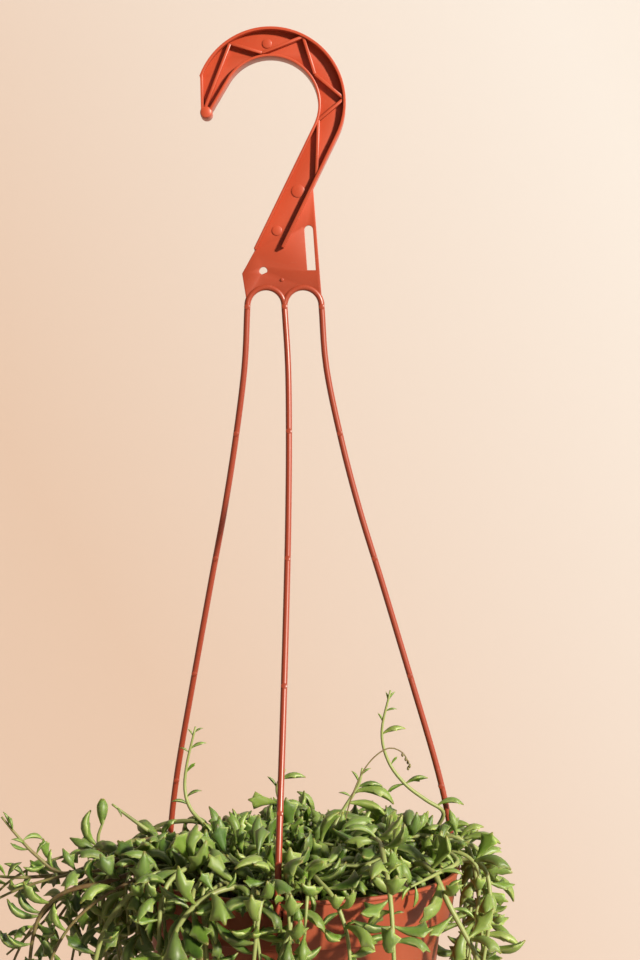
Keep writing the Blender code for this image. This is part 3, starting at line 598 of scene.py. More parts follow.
def layPaper():
    deselectAll()
    middle = studio["wallDistance"] - studio["floorSize"] / 2
    bpy.ops.mesh.primitive_plane_add(size=studio["floorSize"], location=(0, middle, studio["floorHeight"]))
    sheet = bpy.context.object
    sheet.name = "paperSweep"
    settle(sheet)
    farEdge = max(corner.co.y for corner in sheet.data.vertices)
    selectWhere(sheet, lambda co: abs(co.y - farEdge) < mm)
    extrudeBy(0, 0, studio["wallHeight"])
    bpy.ops.object.mode_set(mode="OBJECT")
    curve = sheet.modifiers.new("sweep", "BEVEL")
    curve.width = studio["sweep"]
    curve.segments = studio["sweepSteps"]
    curve.angle_limit = math.radians(30)
    applyAll(sheet)
    finish(sheet, paperSkin())


def lightRoom():
    room = bpy.data.worlds.new("room")
    bpy.context.scene.world = room
    room.use_nodes = True
    nodes, links = room.node_tree.nodes, room.node_tree.links
    air = nodes["Background"]
    air.inputs["Color"].default_value = (*studio["air"], 1)
    # the room looks pale, though it lights little
    seen = nodes.new("ShaderNodeLightPath")
    power = nodes.new("ShaderNodeMath")
    power.operation = "MULTIPLY_ADD"
    links.new(seen.outputs["Is Camera Ray"], power.inputs[0])
    power.inputs[1].default_value = studio["airSeen"]
    power.inputs[2].default_value = studio["airPower"]
    links.new(power.outputs[0], air.inputs["Strength"])
    bpy.context.scene.view_settings.view_transform = studio["colours"]


placeCamera()
keyLight()
fillLight()
layPaper()
lightRoom()
print("camera, light and paper ready")


# the hanger

hanger = {
    # the hook: its crown's radii, its lean, x and z of its tip's corners, and for its outer and inner side
    # the degrees where the arc starts and the length that runs straight down
    "inner": 0.022,
    "outer": 0.0347,
    "outerDrop": 0.021,
    "lean": math.radians(25.9),
    "outerTip": ((-0.0312, -0.0248), (-0.0316, -0.0090)),
    "innerTip": (-0.0277, -0.0245),
    "outerStart": 159,
    "innerStart": 151,
    "outerFall": 0.0574,
    "innerFall": 0.0629,
    # its web, flanges and ribs; the ribs run from corner to corner
    "web": 0.0018,
    "webEdge": 0.00025,
    "flange": 0.0012,
    "flangeDepth": 0.009,
    "flangeEdge": 0.00035,
    "rib": 0.0014,
    "ribDepth": 0.0076,
    "ribCorners": (
        (-0.0301, -0.0238), (-0.0186, 0.0061), (-0.0039, 0.0018), (0.0150, 0.0093),
        (0.0204, -0.0080), (0.0338, -0.0192), (0.0220, -0.0290), (0.0212, -0.0546),
    ),
    # the plate's corners, slot and hole
    "plateRight": ((0.0197, -0.0606), (0.0237, -0.1112)),
    "plateLeft": (-0.0131, -0.0993),
    "slotTop": (0.0176, -0.0790),
    "slotFoot": (0.0189, -0.0977),
    "slotRadius": 0.00195,
    "hole": (-0.0033, -0.0980, 0.0018),
    # the knob at the hook's tip, then the mould's round marks: place, radius, height, sides
    "buttons": (
        ((-0.0295, 0.0, -0.0256), 0.0028, 0.0096, 24),
        ((0.0127, -0.0009, -0.0613), 0.0030, 0.0009, 24),
        ((0.0030, -0.0009, -0.0795), 0.0023, 0.0009, 24),
        ((-0.0016, -0.0009, 0.0066), 0.0022, 0.0009, 24),
        ((0.0053, -0.0009, -0.1022), 0.0008, 0.0012, 12),
    ),
    "wire": 0.00145,
    "wireTop": -0.1141,
    "wireStep": 0.022,
    "wireSides": 12,
    "wireXs": {"left": -0.0107, "front": 0.0064, "right": 0.0235},
    "wireAngles": {"left": -127.0, "front": -4.8, "right": 106.0},
    "wireBows": {"left": 0.0, "front": 0.0026, "right": 0.0},
    # how far down a wire is, and how far over to its clip
    "wireCourse": (
        (0, 0), (0.11, 0.035), (0.24, 0.145), (0.37, 0.285), (0.5, 0.45),
        (0.69, 0.685), (0.83, 0.855), (0.92, 0.945), (1, 1),
    ),
    "nub": 0.0017,
    "nubPlaces": (0.0005, 0.0595, 0.120, 0.178, 0.233, 0.254),
    "clipTop": 0.001,
    "clipDrop": 0.0065,
    "clipBend": 0.0022,
    "clipSlot": 0.0042,
    "slotThrough": 0.012,
    "clipBar": 0.0066,
    "barRadius": 0.0011,
    "barInset": 0.0016,
}


def downStem(point, length):
    return point[0] - length * math.sin(hanger["lean"]), point[1] - length * math.cos(hanger["lean"])


def hookLines():
    leanDegrees, half = math.degrees(hanger["lean"]), hanger["flange"] / 2
    outer = arcPoints(0, -hanger["outerDrop"], hanger["outer"] - half, hanger["outerStart"], -leanDegrees, 48)
    inner = arcPoints(0, -hanger["inner"], hanger["inner"] + half, hanger["innerStart"], -leanDegrees, 44)
    outerEnd, innerEnd = downStem(outer[-1], hanger["outerFall"]), downStem(inner[-1], hanger["innerFall"])
    return [*hanger["outerTip"], *outer], [innerEnd, *inner[::-1], hanger["innerTip"]], outerEnd


def wireArches():
    xs = hanger["wireXs"]
    radius = (xs["front"] - xs["left"]) / 2
    return radius, (xs["left"] + radius, xs["right"] - radius)


def webOutlines(outer, inner):
    top, (archRadius, middles) = hanger["wireTop"], wireArches()
    arches = []
    for x in middles[::-1]:
        arches += arcPoints(x, top, archRadius, 0, 180, 16)[1:-1]
        arches.append((x - archRadius, top))
    corner = (hanger["wireXs"]["right"], top)
    outline = [*outer, *hanger["plateRight"], corner, *arches, hanger["plateLeft"], *inner]
    (x, z), half = hanger["slotFoot"], hanger["slotRadius"]
    slot = [*arcPoints(*hanger["slotTop"], half, 0, 180, 12), (x - half, z), (x + half, z)]
    hole = arcPoints(*hanger["hole"], -20, 250, 16)
    return [outline, slot, hole]


def standUp(piece):
    # drawn flat, then turned to face the front
    piece.rotation_euler.x = math.radians(90)
    settle(piece)


def plasticSheet(name, outlines, thickness, edge):
    curve = curveThrough(name, [[(x, z, 0) for x, z in outline] for outline in outlines], True)
    curve.data.dimensions = "2D"
    curve.data.fill_mode = "BOTH"
    curve.data.extrude = thickness / 2 - edge
    curve.data.bevel_depth = edge
    curve.data.bevel_resolution = 1
    curve.data.offset = -edge
    sheet = toMesh(curve)
    closeUp(sheet, 0.000002)
    standUp(sheet)
    return sheet


def softenEdges(piece, width, angle=30):
    soft = piece.modifiers.new("soft", "BEVEL")
    soft.width = width
    soft.segments = 2
    soft.limit_method = "ANGLE"
    soft.angle_limit = math.radians(angle)


def plasticStrip(name, line, depth, thickness):
    curve = curveThrough(name, [[(x, z, 0) for x, z in line]], False)
    curve.data.dimensions = "2D"
    curve.data.fill_mode = "NONE"
    curve.data.extrude = depth / 2
    strip = toMesh(curve)
    thick = strip.modifiers.new("thick", "SOLIDIFY")
    thick.thickness = thickness
    thick.offset = 0
    thick.use_even_offset = True
    softenEdges(strip, hanger["flangeEdge"], 40)
    applyAll(strip)
    standUp(strip)
    return strip


def plasticButton(place, along, radius, height, sides):
    deselectAll()
    bpy.ops.mesh.primitive_cylinder_add(vertices=sides, radius=radius, depth=height)
    button = bpy.context.object
    softenEdges(button, min(radius, height / 2) * 0.45)
    applyAll(button)
    button.data.transform(Matrix.Translation(place) @ along.to_track_quat("Z", "Y").to_matrix().to_4x4())
    return button


def clipRadii():
    # from the pot's axis to the wires' feet outside, and to their clips' bars inside
    outside = pot["rim"] + pot["lip"] + hanger["wire"] + soil["gap"]
    return outside, bandRadius(-hanger["clipDrop"]) - pot["wall"] - hanger["barInset"]


def wireLine(side, finer=1):
    top = Vector((hanger["wireXs"][side], 0, hanger["wireTop"]))
    foot = onRim(hanger["wireAngles"][side], clipRadii()[0], hanger["clipTop"])
    points = []
    for drop, share in hanger["wireCourse"]:
        aside = hanger["wireBows"][side] * math.sin(math.pi * drop**0.65)
        x = top.x + (foot.x - top.x) * share + aside
        points.append(Vector((x, foot.y * share, top.z + (foot.z - top.z) * drop)))
    return smoothLine(points, hanger["wireStep"], finer)


def clipLine(side):
    # the wire's foot turns in through its slot
    angle, (outside, inside) = hanger["wireAngles"][side], clipRadii()
    drop, bend = hanger["clipDrop"], hanger["clipBend"]
    return [
        onRim(angle, outside, hanger["clipTop"]),
        onRim(angle, outside, -drop + bend),
        onRim(angle, outside - 0.0007, -drop + 0.0006),
        onRim(angle, outside - bend, -drop),
        onRim(angle, inside, -drop),
    ]


def nubPlaces(line):
    travelled, wanted = 0.0, list(hanger["nubPlaces"])
    for a, b in zip(line, line[1:]):
        length = (b - a).length
        while wanted and travelled + length >= wanted[0]:
            place = a.lerp(b, (wanted.pop(0) - travelled) / length)
            yield place, (b - a).cross(Vector((1, 0, 0))).normalized()
        travelled += length


def makeHanger():
    outer, inner, outerEnd = hookLines()
    parts = [
        plasticSheet("hangerWeb", webOutlines(outer, inner), hanger["web"], hanger["webEdge"]),
        plasticStrip("outerFlange", [*outer, outerEnd], hanger["flangeDepth"], hanger["flange"]),
        plasticStrip("innerFlange", inner, hanger["flangeDepth"], hanger["flange"]),
    ]
    for ends in zip(hanger["ribCorners"], hanger["ribCorners"][1:]):
        parts.append(plasticStrip("rib", ends, hanger["ribDepth"], hanger["rib"]))
    for place, radius, height, sides in hanger["buttons"]:
        parts.append(plasticButton(Vector(place), Vector((0, 1, 0)), radius, height, sides))
    archRadius, middles = wireArches()
    for middle in middles:
        line = [Vector((x, 0, z)) for x, z in arcPoints(middle, hanger["wireTop"], archRadius, 0, 180, 20)]
        parts.append(rod("archBead", line, [hanger["wire"]] * len(line), hanger["wireSides"]))
    for side, angle in hanger["wireAngles"].items():
        course = wireLine(side, 5)[:-1] + smoothLine(clipLine(side), 0.002, 2)
        parts.append(rod("wire", course, [hanger["wire"]] * len(course), hanger["wireSides"]))
        bar = onRim(angle, clipRadii()[1], -hanger["clipDrop"])
        aside = onRim(angle + 90, 1, 0) - rimMiddle
        parts.append(plasticButton(bar, aside, hanger["barRadius"], hanger["clipBar"], hanger["wireSides"]))
        for place, outwards in nubPlaces(wireLine(side)):
            parts.append(plasticButton(place, outwards, hanger["nub"] * 0.85, hanger["nub"] * 2, 14))
    piece = joinAll(parts, "mouldedHanger")
    finish(piece, skins["hanger"], 35)
    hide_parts("hanger")
    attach(piece, "root")
    print("hanger ready:", len(piece.data.polygons), "faces")


makeHanger()


# the pot and what fills it


def turnOnWheel(name, profile, steps):
    # a profile drawn corner by corner, then spun round the pot's axis
    deselectAll()
    bpy.ops.mesh.primitive_plane_add(size=0.001, location=(0, 0, 0))
    piece = bpy.context.object
    piece.name = name
    editAll(piece)
    bpy.ops.mesh.merge(type="CENTER")
    bpy.ops.transform.translate(value=(profile[0][0], 0, profile[0][1]))
    for (r0, z0), (r1, z1) in zip(profile, profile[1:]):
        extrudeBy(r1 - r0, 0, z1 - z0)
    bpy.ops.mesh.select_all(action="SELECT")
    bpy.ops.mesh.spin(steps=steps, angle=math.tau, center=(0, 0, 0), axis=(0, 0, 1))
    closeUp(piece, 0.00002)
    piece.data.transform(Matrix.Translation(rimMiddle))
    return piece


def cutAway(piece, cutters):
    tool = joinAll(cutters, "cutter")
    cut = piece.modifiers.new("cut", "BOOLEAN")
    cut.operation = "DIFFERENCE"
    cut.solver = "EXACT"
    cut.object = tool
    applyAll(piece)
    remove(tool)


def makePot():
    rim, lip, wall, bodyTop = pot["rim"], pot["lip"], pot["wall"], pot["bodyTop"]
    ledge, base = -pot["bandHeight"], -pot["height"]
    floor = base + pot["floor"]
    profile = [
        # the rolled rim, from its inner edge outwards
        (rim - wall, -0.0006),
        (rim - wall + 0.0003, -0.0001),
        (rim - wall + 0.0007, 0.0),
        (rim + lip * 0.4, 0.0),
        (rim + lip * 0.9, -0.0003),
        (rim + lip, -0.0008),
        (rim + lip * 0.9, -0.0014),
        # down the band, in under its foot, and down the body
        (bandRadius(-0.0022), -0.0022),
        (bandRadius(ledge + 0.0008), ledge + 0.0008),
        (bandRadius(ledge) - 0.0003, ledge + 0.0002),
        (bandRadius(ledge) - 0.0008, ledge),
        (bodyTop + 0.0006, ledge),
        (bodyTop, ledge - 0.0006),
        (bodyRadius(base + 0.0016), base + 0.0016),
        (bodyRadius(base) - 0.0005, base + 0.0004),
        (bodyRadius(base) - 0.0015, base),
        # the base, the floor, and up the inside
        (0, base),
        (0, floor),
        (bodyRadius(floor) - wall - 0.001, floor),
        (bodyRadius(floor) - wall, floor + 0.001),
        (bodyTop - wall, ledge + wall),
        (bandRadius(ledge + wall) - wall, ledge + wall),
        (rim - wall, -0.0006),
    ]
    piece = turnOnWheel("hangingPot", profile, pot["steps"])
    cutters = []
    size = Matrix.Diagonal((hanger["clipSlot"], hanger["slotThrough"], hanger["clipSlot"], 1))
    for angle in hanger["wireAngles"].values():
        slot = Matrix.Translation(onRim(angle, rim, -hanger["clipDrop"]))
        turn = Matrix.Rotation(math.radians(angle), 4, "Z")
        cutters.append(primitiveAt(slot @ turn @ size, bpy.ops.mesh.primitive_cube_add, size=1))
    drill = {"vertices": 24, "radius": pot["drainRadius"], "depth": 0.008}
    for n in range(pot["drains"]):
        drain = Matrix.Translation(onRim(360 * (n + 0.5) / pot["drains"], pot["drainCircle"], base + 0.002))
        cutters.append(primitiveAt(drain, bpy.ops.mesh.primitive_cylinder_add, **drill))
    cutAway(piece, cutters)
    finish(piece, skins["pot"], 40)
    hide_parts("pot")
    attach(piece, "root")
    print("pot ready:", len(piece.data.polygons), "faces")


def makeSoil():
    gap, wall = soil["gap"], pot["wall"]
    ledge = -pot["bandHeight"] + wall + gap
    floor = -pot["height"] + pot["floor"] + gap
    edge = bandRadius(soil["edge"]) - wall - gap
    circles = [n / soil["rings"] * edge for n in range(soil["rings"])]
    profile = [(radius, soilHeight(radius)) for radius in circles]
    profile += [
        (edge, soil["edge"]),
        (bandRadius(ledge) - wall - gap, ledge),
        (pot["bodyTop"] - wall - gap, ledge),
        (bodyRadius(floor) - wall - gap, floor),
        (0, floor),
    ]
    piece = turnOnWheel("compostBall", profile, soil["steps"])
    top = piece.vertex_groups.new(name="top")
    corners = [v.index for v in piece.data.vertices if v.co.z - rimMiddle.z > soil["edge"] + 0.0002]
    top.add(corners, 1.0, "REPLACE")
    crumbs = bpy.data.textures.new("crumbs", "CLOUDS")
    crumbs.noise_scale = soil["crumbs"]
    heave = piece.modifiers.new("heave", "DISPLACE")
    heave.texture = crumbs
    heave.texture_coords = "LOCAL"
    heave.direction = "Z"
    heave.vertex_group = "top"
    heave.strength = soil["heave"]
    heave.mid_level = 0.5
    applyAll(piece)
    finish(piece, skins["compost"])
    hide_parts("soil")
    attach(piece, "root")
    print("soil ready:", len(piece.data.polygons), "faces")


grit = {"grains": 150, "seed": 5, "circle": 0.068, "lift": 0.0004, "sizes": (0.0006, 0.0018)}


def scatterGrit():
    draw = random.Random(grit["seed"])
    grains = []
    for _ in range(grit["grains"]):
        out = grit["circle"] * math.sqrt(draw.random())
        place = Matrix.Translation(onRim(draw.uniform(0, 360), out, soilHeight(out) + grit["lift"]))
        radius = draw.uniform(*grit["sizes"])
        turn = Matrix.Rotation(draw.uniform(0, wholeTurn), 4, (draw.random(), draw.random(), 1))
        size = Matrix.Diagonal((1, draw.uniform(0.6, 1), draw.uniform(0.5, 0.9), 1))
        stone = {"subdivisions": 1, "radius": radius}
        grains.append(primitiveAt(place @ turn @ size, bpy.ops.mesh.primitive_ico_sphere_add, **stone))
    piece = joinAll(grains, "grit")
    finish(piece, skins["grit"], 60)
    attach(piece, "root")
    print("grit ready:", grit["grains"], "grains")


makePot()
makeSoil()
scatterGrit()


# the plant, and where its stems run

plant = {
    "seed": 7,
    "leafLength": 0.0185,
    "leafSpacing": 0.0117,
    "uneven": (0.85, 1.15),
    "stemRadius": 0.00125,
    "tipRadius": 0.0005,
    "stemSides": 8,
    "leafGap": 0.0007,
    "stemGap": 0.0012,
    "stemStep": 0.017,
    "finer": 5,  # how many pieces each straight of the CAD's stem becomes
    "ballStep": 0.002,
    "rootBalls": 6,  # so many of a stem's first balls may touch the soil
    "handShare": 0.6,  # how near a leaf placed one by one may come to its own stem and leaves
    "extraGap": -0.0012,  # the stems that the CAD leaves out may press together
    "youngUnder": 0.010,
    "fillSeed": 23,
    # millimetres between the leaves that the CAD leaves out, by the stem's name or its first word
    "fillSpacing": {
        "shoot": 16, "front": 11, "left": 70, "right": 45, "back": 9, "over": 8, "mound": 7, "left_hump": 5
    },
    # how light the leaves are, by the stem's first word: the darkest, and how much lighter others come
    "tones": {"right": (0.55, 0.55)},
    # painted shade: leaves towards the left are darkened from shadeFrom over shadeWidth, down to darkest
    "shadeFrom": -0.015,
    "shadeWidth": 0.110,
    "darkest": 0.60,
    # stems that are brown for longer, with the age at their root and how much it grows to their tip
    "brownStems": ("left_reach", "left_rise", "left_arch", "leftSprays"),
    "brownAge": (-0.38, 0.62),
}


def rooted(x, y):
    height = soilHeight(math.hypot(x, y) * mm) / mm
    return [(x, y, height - soil["rootDepth"] / mm), (x, y, height + soil["sprout"] / mm)]


# millimetres from the middle of the rim; then where leaves start, first and last leaf size, thickness
leadStems = {
    "shoot_left": (
        [*rooted(-30, -6), (-40, -4, 16), (-48, -2, 25), (-51, 0, 34), (-50, 0, 46), (-46, -1, 63)],
        (0.30, 1.0, 0.30, 0.8),
    ),
    "shoot_right": (
        [*rooted(56, 20), (66, 18, 12), (69, 14, 21), (61, 11, 27), (51, 8, 35), (43, 7, 46), (40, 6, 60),
         (44, 5, 79)],
        (0.22, 1.0, 0.28, 0.8),
    ),
    "shoot_middle": (
        [*rooted(2, 26), (0, 22, 12), (-6, 18, 22), (-9, 16, 32), (-5, 14, 41)],
        (0.35, 1.0, 0.8, 0.8),
    ),
    "shoot_inner_right": (
        [*rooted(12, -4), (16, -2, 13), (22, 2, 24), (29, 4, 35), (31, 5, 43)],
        (0.35, 1.0, 0.6, 0.85),
    ),
    "front_straight": (
        [*rooted(33, -24), (34, -36, 17), (37, -54, 20), (39, -70, 13), (41, -81, -2), (42, -85, -24),
         (43, -84, -46), (43, -82, -62)],
        (0.22, 1.05, 0.9, 1.0),
    ),
    "front_inner": (
        [*rooted(12, -44), (9, -58, 6), (11, -70, 7), (17, -79, 2), (22, -83, -10), (24, -84, -26),
         (24, -83, -50)],
        (0.30, 1.0, 0.8, 0.9),
    ),
    "front_middle": (
        [*rooted(4, -52), (1, -64, 5), (-1, -76, 4), (-1, -84, -8), (-7, -86, -26), (-13, -85, -46),
         (-14, -82, -66)],
        (0.18, 1.1, 0.9, 1.0),
    ),
    "front_left": (
        [*rooted(-12, -56), (-20, -68, 4), (-32, -76, 4), (-44, -80, -4), (-52, -80, -20), (-55, -78, -42),
         (-56, -75, -68)],
        (0.15, 1.05, 0.9, 1.0),
    ),
    "right_trail": (
        [*rooted(48, -20), (54, -34, 7), (61, -45, 5), (67, -51, -7), (73, -52, -18), (80, -52, -32),
         (84, -50, -52), (86, -48, -74)],
        (0.20, 1.1, 0.8, 1.1),
    ),
    "right_branch": (
        [*rooted(60, -8), (67, -22, 9), (72, -36, 8), (62, -50, 6), (50, -62, 3)],
        (0.20, 1.0, 0.8, 0.95),
    ),
    "right_clump": (
        [*rooted(56, 4), (67, -4, 12), (76, -6, 12), (81, -5, 3), (84, -4, -14), (86, -2, -38), (86, 0, -62)],
        (0.15, 1.05, 0.85, 1.0),
    ),
    "left_reach": (
        [*rooted(-50, 4), (-66, 0, 7), (-84, -4, 4), (-100, -8, -2), (-116, -10, -4), (-132, -11, -4),
         (-146, -12, -1)],
        (0.15, 0.95, 0.5, 0.9),
    ),
    "left_rise": (
        [*rooted(-54, -14), (-68, -18, 6), (-88, -22, 4), (-104, -22, 0), (-116, -22, 8), (-125, -21, 17),
         (-132, -20, 25)],
        (0.16, 0.95, 0.4, 0.85),
    ),
    "left_arch": (
        [*rooted(-46, -26), (-64, -34, 4), (-82, -38, 0), (-99, -38, -4), (-109, -37, -11), (-114, -36, -20),
         (-117, -34, -36), (-118, -32, -62)],
        (0.16, 0.95, 0.8, 0.9),
    ),
    "left_fall": (
        [*rooted(-40, -38), (-54, -50, 5), (-68, -56, 0), (-80, -58, -14), (-86, -57, -34), (-89, -55, -58),
         (-90, -52, -86)],
        (0.16, 1.0, 0.8, 1.0),
    ),
    "left_crown": (
        [*rooted(-46, 16), (-57, 15, 5), (-66, 14, 10), (-77, 13, 18), (-86, 12, 25)],
        (0.20, 1.0, 1.0, 1.0),
    ),
    "left_post": (
        [*rooted(-56, 28), (-68, 24, 8), (-82, 16, 4), (-90, 11, 3), (-92, 8, 10), (-89, 6, 19)],
        (0.20, 1.0, 1.0, 1.0),
    ),
    "left_hump": (
        [*rooted(-22, 10), (-29, 9, 6), (-37, 7, 10), (-44, 5, 10), (-50, 4, 5)],
        (0.25, 1.0, 0.9, 0.7),
    ),
}

# where the leaves laid by rule stop; then each leaf with a chosen place: share of the stem, way from foot to
# nose (0 right, 90 up), side that it bends to (0 left of that way, 90 the front), millimetres, bend
handLeaves = {
    "shoot_left": (
        0.5,
        ((0.54, 166, 20, 9.1, 1.3), (0.59, 22, 180, 8.3, 1.2), (0.73, 50, 120, 7.2, 0.8),
         (0.85, 151, 20, 5.2, 0.9), (0.87, 22, 180, 8.5, 0.9), (0.94, 120, 30, 4.7, 0.8),
         (0.96, 33, 180, 5.2, 0.8)),
    ),
    "shoot_right": (
        0.36,
        ((0.40, 0, 180, 13.7, 1.6), (0.57, -154, 40, 9.8, 0.9), (0.57, 15, 150, 11.3, 0.9),
         (0.67, 56, 120, 5.5, 0.8), (0.76, 104, 20, 3.9, 0.8), (0.81, 14, 180, 11.7, 0.9),
         (0.86, 113, 30, 5.6, 0.8), (0.91, 13, 180, 5.8, 0.9), (0.95, 53, 160, 6.3, 0.7),
         (0.95, 100, 20, 5.1, 0.7)),
    ),
    "shoot_middle": (
        0.6,
        ((0.68, -11, 200, 10.9, 1.4), (0.69, 175, 100, 15.9, 1.0), (0.81, 127, 30, 7.7, 0.9),
         (0.89, 7, 170, 13.1, 0.9)),
    ),
    "shoot_inner_right": (
        0.6,
        ((0.70, -22, 150, 19.9, 1.0), (0.75, 163, 20, 6.4, 1.0), (0.79, -19, 175, 20.9, 1.6),
         (0.84, 0, 160, 12.2, 1.0), (0.87, 116, 20, 7.3, 0.8), (0.93, 42, 170, 6.2, 0.8)),
    ),
    "front_straight": (
        0.9,
        ((0.36, 176, 340, 15.9, 0.7), (0.50, 43, 150, 8.9, 1.1), (0.61, 12, 180, 5.5, 1.0),
         (0.64, 168, 190, 17.8, 1.0), (0.67, -160, 30, 14.2, 1.0)),
    ),
    "front_inner": (
        1.0,
        ((0.26, -36, 150, 21.5, 0.9), (0.25, 38, 350, 14.8, 1.3), (0.55, -138, 20, 10.4, 1.0),
         (0.61, 38, 170, 6.7, 1.0)),
    ),
    "front_middle": (
        1.0,
        ((0.37, 160, 100, 11.5, 1.1), (0.36, 55, 80, 11.0, 1.0), (0.41, -32, 165, 18.5, 1.2),
         (0.48, -52, 260, 7.7, 0.9), (0.49, -170, 20, 14.6, 1.0)),
    ),
    "front_left": (
        1.0,
        ((0.21, 45, 30, 10.1, 1.2), (0.27, -26, 175, 12.4, 1.3), (0.31, 52, 20, 9.8, 1.3),
         (0.34, 124, 100, 10.6, 1.0), (0.39, -47, 130, 14.2, 1.2), (0.44, 166, 20, 11.5, 1.2)),
    ),
    "right_trail": (
        1.0,
        ((0.36, -122, 200, 22.5, 0.9), (0.41, 40, 160, 10.5, 1.0), (0.46, -21, 150, 11.0, 1.1)),
    ),
    "right_branch": (
        0.55,
        ((0.63, 144, 20, 12.3, 1.1), (0.76, -9, 170, 10.5, 1.0), (0.97, -91, 190, 9.9, 0.8),
         (0.97, -130, 20, 9.0, 1.2)),
    ),
    "right_clump": (
        1.0,
        ((0.30, 167, 10, 13.5, 1.1), (0.32, 105, 290, 13.5, 1.0), (0.34, 24, 180, 13.2, 1.6),
         (0.35, -8, 165, 18.5, 1.2), (0.45, -15, 80, 19.2, 0.8), (0.49, -24, 110, 12.5, 1.2),
         (0.57, -19, 90, 15.3, 1.0), (0.71, 19, 170, 12.0, 1.2), (0.75, -17, 160, 19.4, 1.1)),
    ),
    "left_reach": (
        1.0,
        ((0.66, -139, 20, 10.4, 1.1), (0.73, 130, 20, 7.7, 0.9), (0.79, 144, 20, 11.7, 0.8),
         (0.86, 44, 180, 10.2, 1.0)),
    ),
    "left_rise": (
        1.0,
        ((0.67, 96, 200, 10.1, 1.2), (0.77, 50, 180, 8.4, 1.0), (0.83, 147, 20, 8.0, 0.8),
         (0.95, 110, 20, 6.9, 0.8)),
    ),
    "left_arch": (
        1.0,
        ((0.47, -43, 170, 9.7, 1.2), (0.53, -71, 150, 10.2, 1.0), (0.63, 131, 180, 15.4, 1.6),
         (0.64, 151, 185, 17.8, 1.6), (0.68, -33, 90, 12.1, 1.0)),
    ),
    "left_crown": (
        0.5,
        ((0.67, -46, 160, 14.2, 0.8), (0.54, 153, 285, 15.5, 0.7, "oval"), (0.50, 52, 180, 12.5, 1.6),
         (0.97, -56, 180, 6.0, 0.7)),
    ),
    "left_post": (
        0.62,
        ((0.76, 158, 260, 16.8, 0.7), (0.81, 103, 180, 19.5, 1.8), (0.96, 89, 280, 12.5, 0.7, "oval")),
    ),
    "left_hump": (
        1.0,
        ((0.56, 76, 20, 16.9, 1.5), (0.66, 105, 330, 16.0, 1.2), (0.72, 134, 20, 13.5, 1.2)),
    ),
}
tipping = (0, 12, -12, 24, -24, 38, -38, 52)  # degrees that such a leaf may tip forwards to find room

# how high the crown reaches over the rim, by x, and how much lower it is for each millimetre further back
crown = {
    "outline": (
        (-140, 32), (-120, 17), (-100, 9), (-67, 12), (-44, 19), (-21, 27), (-15, 32), (3, 36), (12, 25),
        (23, 25), (32, 33), (48, 31), (57, 24), (71, 23), (85, 17), (92, 10), (98, -2), (104, -34), (110, -90),
    ),
    "slope": 0.19,
}

rings = {
    # name, angles, root circle, height over the soil, how far below the rim they end
    "kinds": (
        ("back", (92, 130, 168, 206, 244, 282), 0.052, 0.008, (-0.105, -0.050)),
        ("over", (-12, 76, 104, 150, 195, 240, 288, 322), 0.034, 0.013, (-0.070, -0.030)),
    ),
    "tries": 60,
    "wander": 11,
    "swing": 14,
    "bendDown": -0.018,
    "drop": 0.022,
    "growth": (0.2, 1.0, 0.75, 0.95),
}

mound = {
    "count": 12,
    "tries": 400,
    "wander": 40,
    "circle": (0.010, 0.056),
    "radius": 0.064,
    "stride": 0.014,
    "curl": 35,
    "heights": (0.003, 0.012),
    "humps": (0.8, 1.0, 0.9, 0.9),
    "lift": (-0.003, 0.008),
    "growth": (0.16, 0.95, 0.8, 0.9),
    "cover": 0.003,
}


def outOfSoil(radius):
    foot = soilHeight(radius)
    return [(radius, 0, foot - soil["rootDepth"]), (radius, 0, foot + soil["sprout"])]


def swungRound(angle, swing, turns):
    return [onRim(angle + swing * share, radius, height) for radius, share, height in turns]


def ringRoute(kind, n, draw):
    _, angles, circle, arch, ends = kind
    angle = angles[n] + draw.uniform(-rings["wander"], rings["wander"])
    root = circle * draw.uniform(0.8, 1.2)
    end, swing = draw.uniform(*ends), draw.uniform(-rings["swing"], rings["swing"])
    over = soilHeight(root) + arch + draw.uniform(0, 0.006)
    rim, below = pot["rim"], rings["bendDown"]
    turns = outOfSoil(root) + [(root + 0.35 * (rim - root), 0.2, over), (rim - 0.002, 0.5, over * 0.9)]
    turns += [(rim + 0.012, 0.7, over * 0.2), (rim + 0.015, 0.9, below)]
    drops = max(1, round((below - end) / rings["drop"]))
    for k in range(1, drops + 1):
        turns.append((rim + 0.014 - 0.002 * k, 1 + 0.1 * k, below + (end - below) * k / drops))
    return swungRound(angle, swing, turns)


def creepFrom(place, kind, draw):
    # a few strides over the compost, curling one way, the last of them free to lift
    heading, curl = draw.uniform(0, 360), draw.uniform(-kind["curl"], kind["curl"])
    crest = draw.uniform(*kind["heights"])
    heights = [crest * share for share in kind["humps"]]
    heights[-1] += draw.uniform(*kind["lift"])
    points = [place + worldUp * height for _, _, height in outOfSoil((place - rimMiddle).to_2d().length)]
    for height in heights:
        place = place + onRim(heading, kind["stride"], 0) - rimMiddle
        heading += curl
        points.append(place + worldUp * height)
    return points


def moundRoute(n, draw):
    start = goldenAngle * n + draw.uniform(-mound["wander"], mound["wander"])
    return creepFrom(onRim(start, draw.uniform(*mound["circle"]), 0), mound, draw)


def crownHeight(place):
    x, y, outline = (place.x - rimMiddle.x) / mm, place.y / mm, crown["outline"]
    height = outline[0][1] if x < outline[0][0] else outline[-1][1]
    for (x0, low), (x1, high) in zip(outline, outline[1:]):
        if x0 <= x <= x1:
            height = low + (high - low) * (x - x0) / (x1 - x0)
    return (height - crown["slope"] * y) * mm


def withinCrown(place, margin):
    return place.z - rimMiddle.z + margin < crownHeight(place)


def withinCircle(places, radius):
    return all((place - rimMiddle).to_2d().length < radius for place in places)


# the stems that the CAD leaves out: a nest over the compost, a fringe over the rim, and on the left a few
# thin ones that fan out, where leaves sit far apart

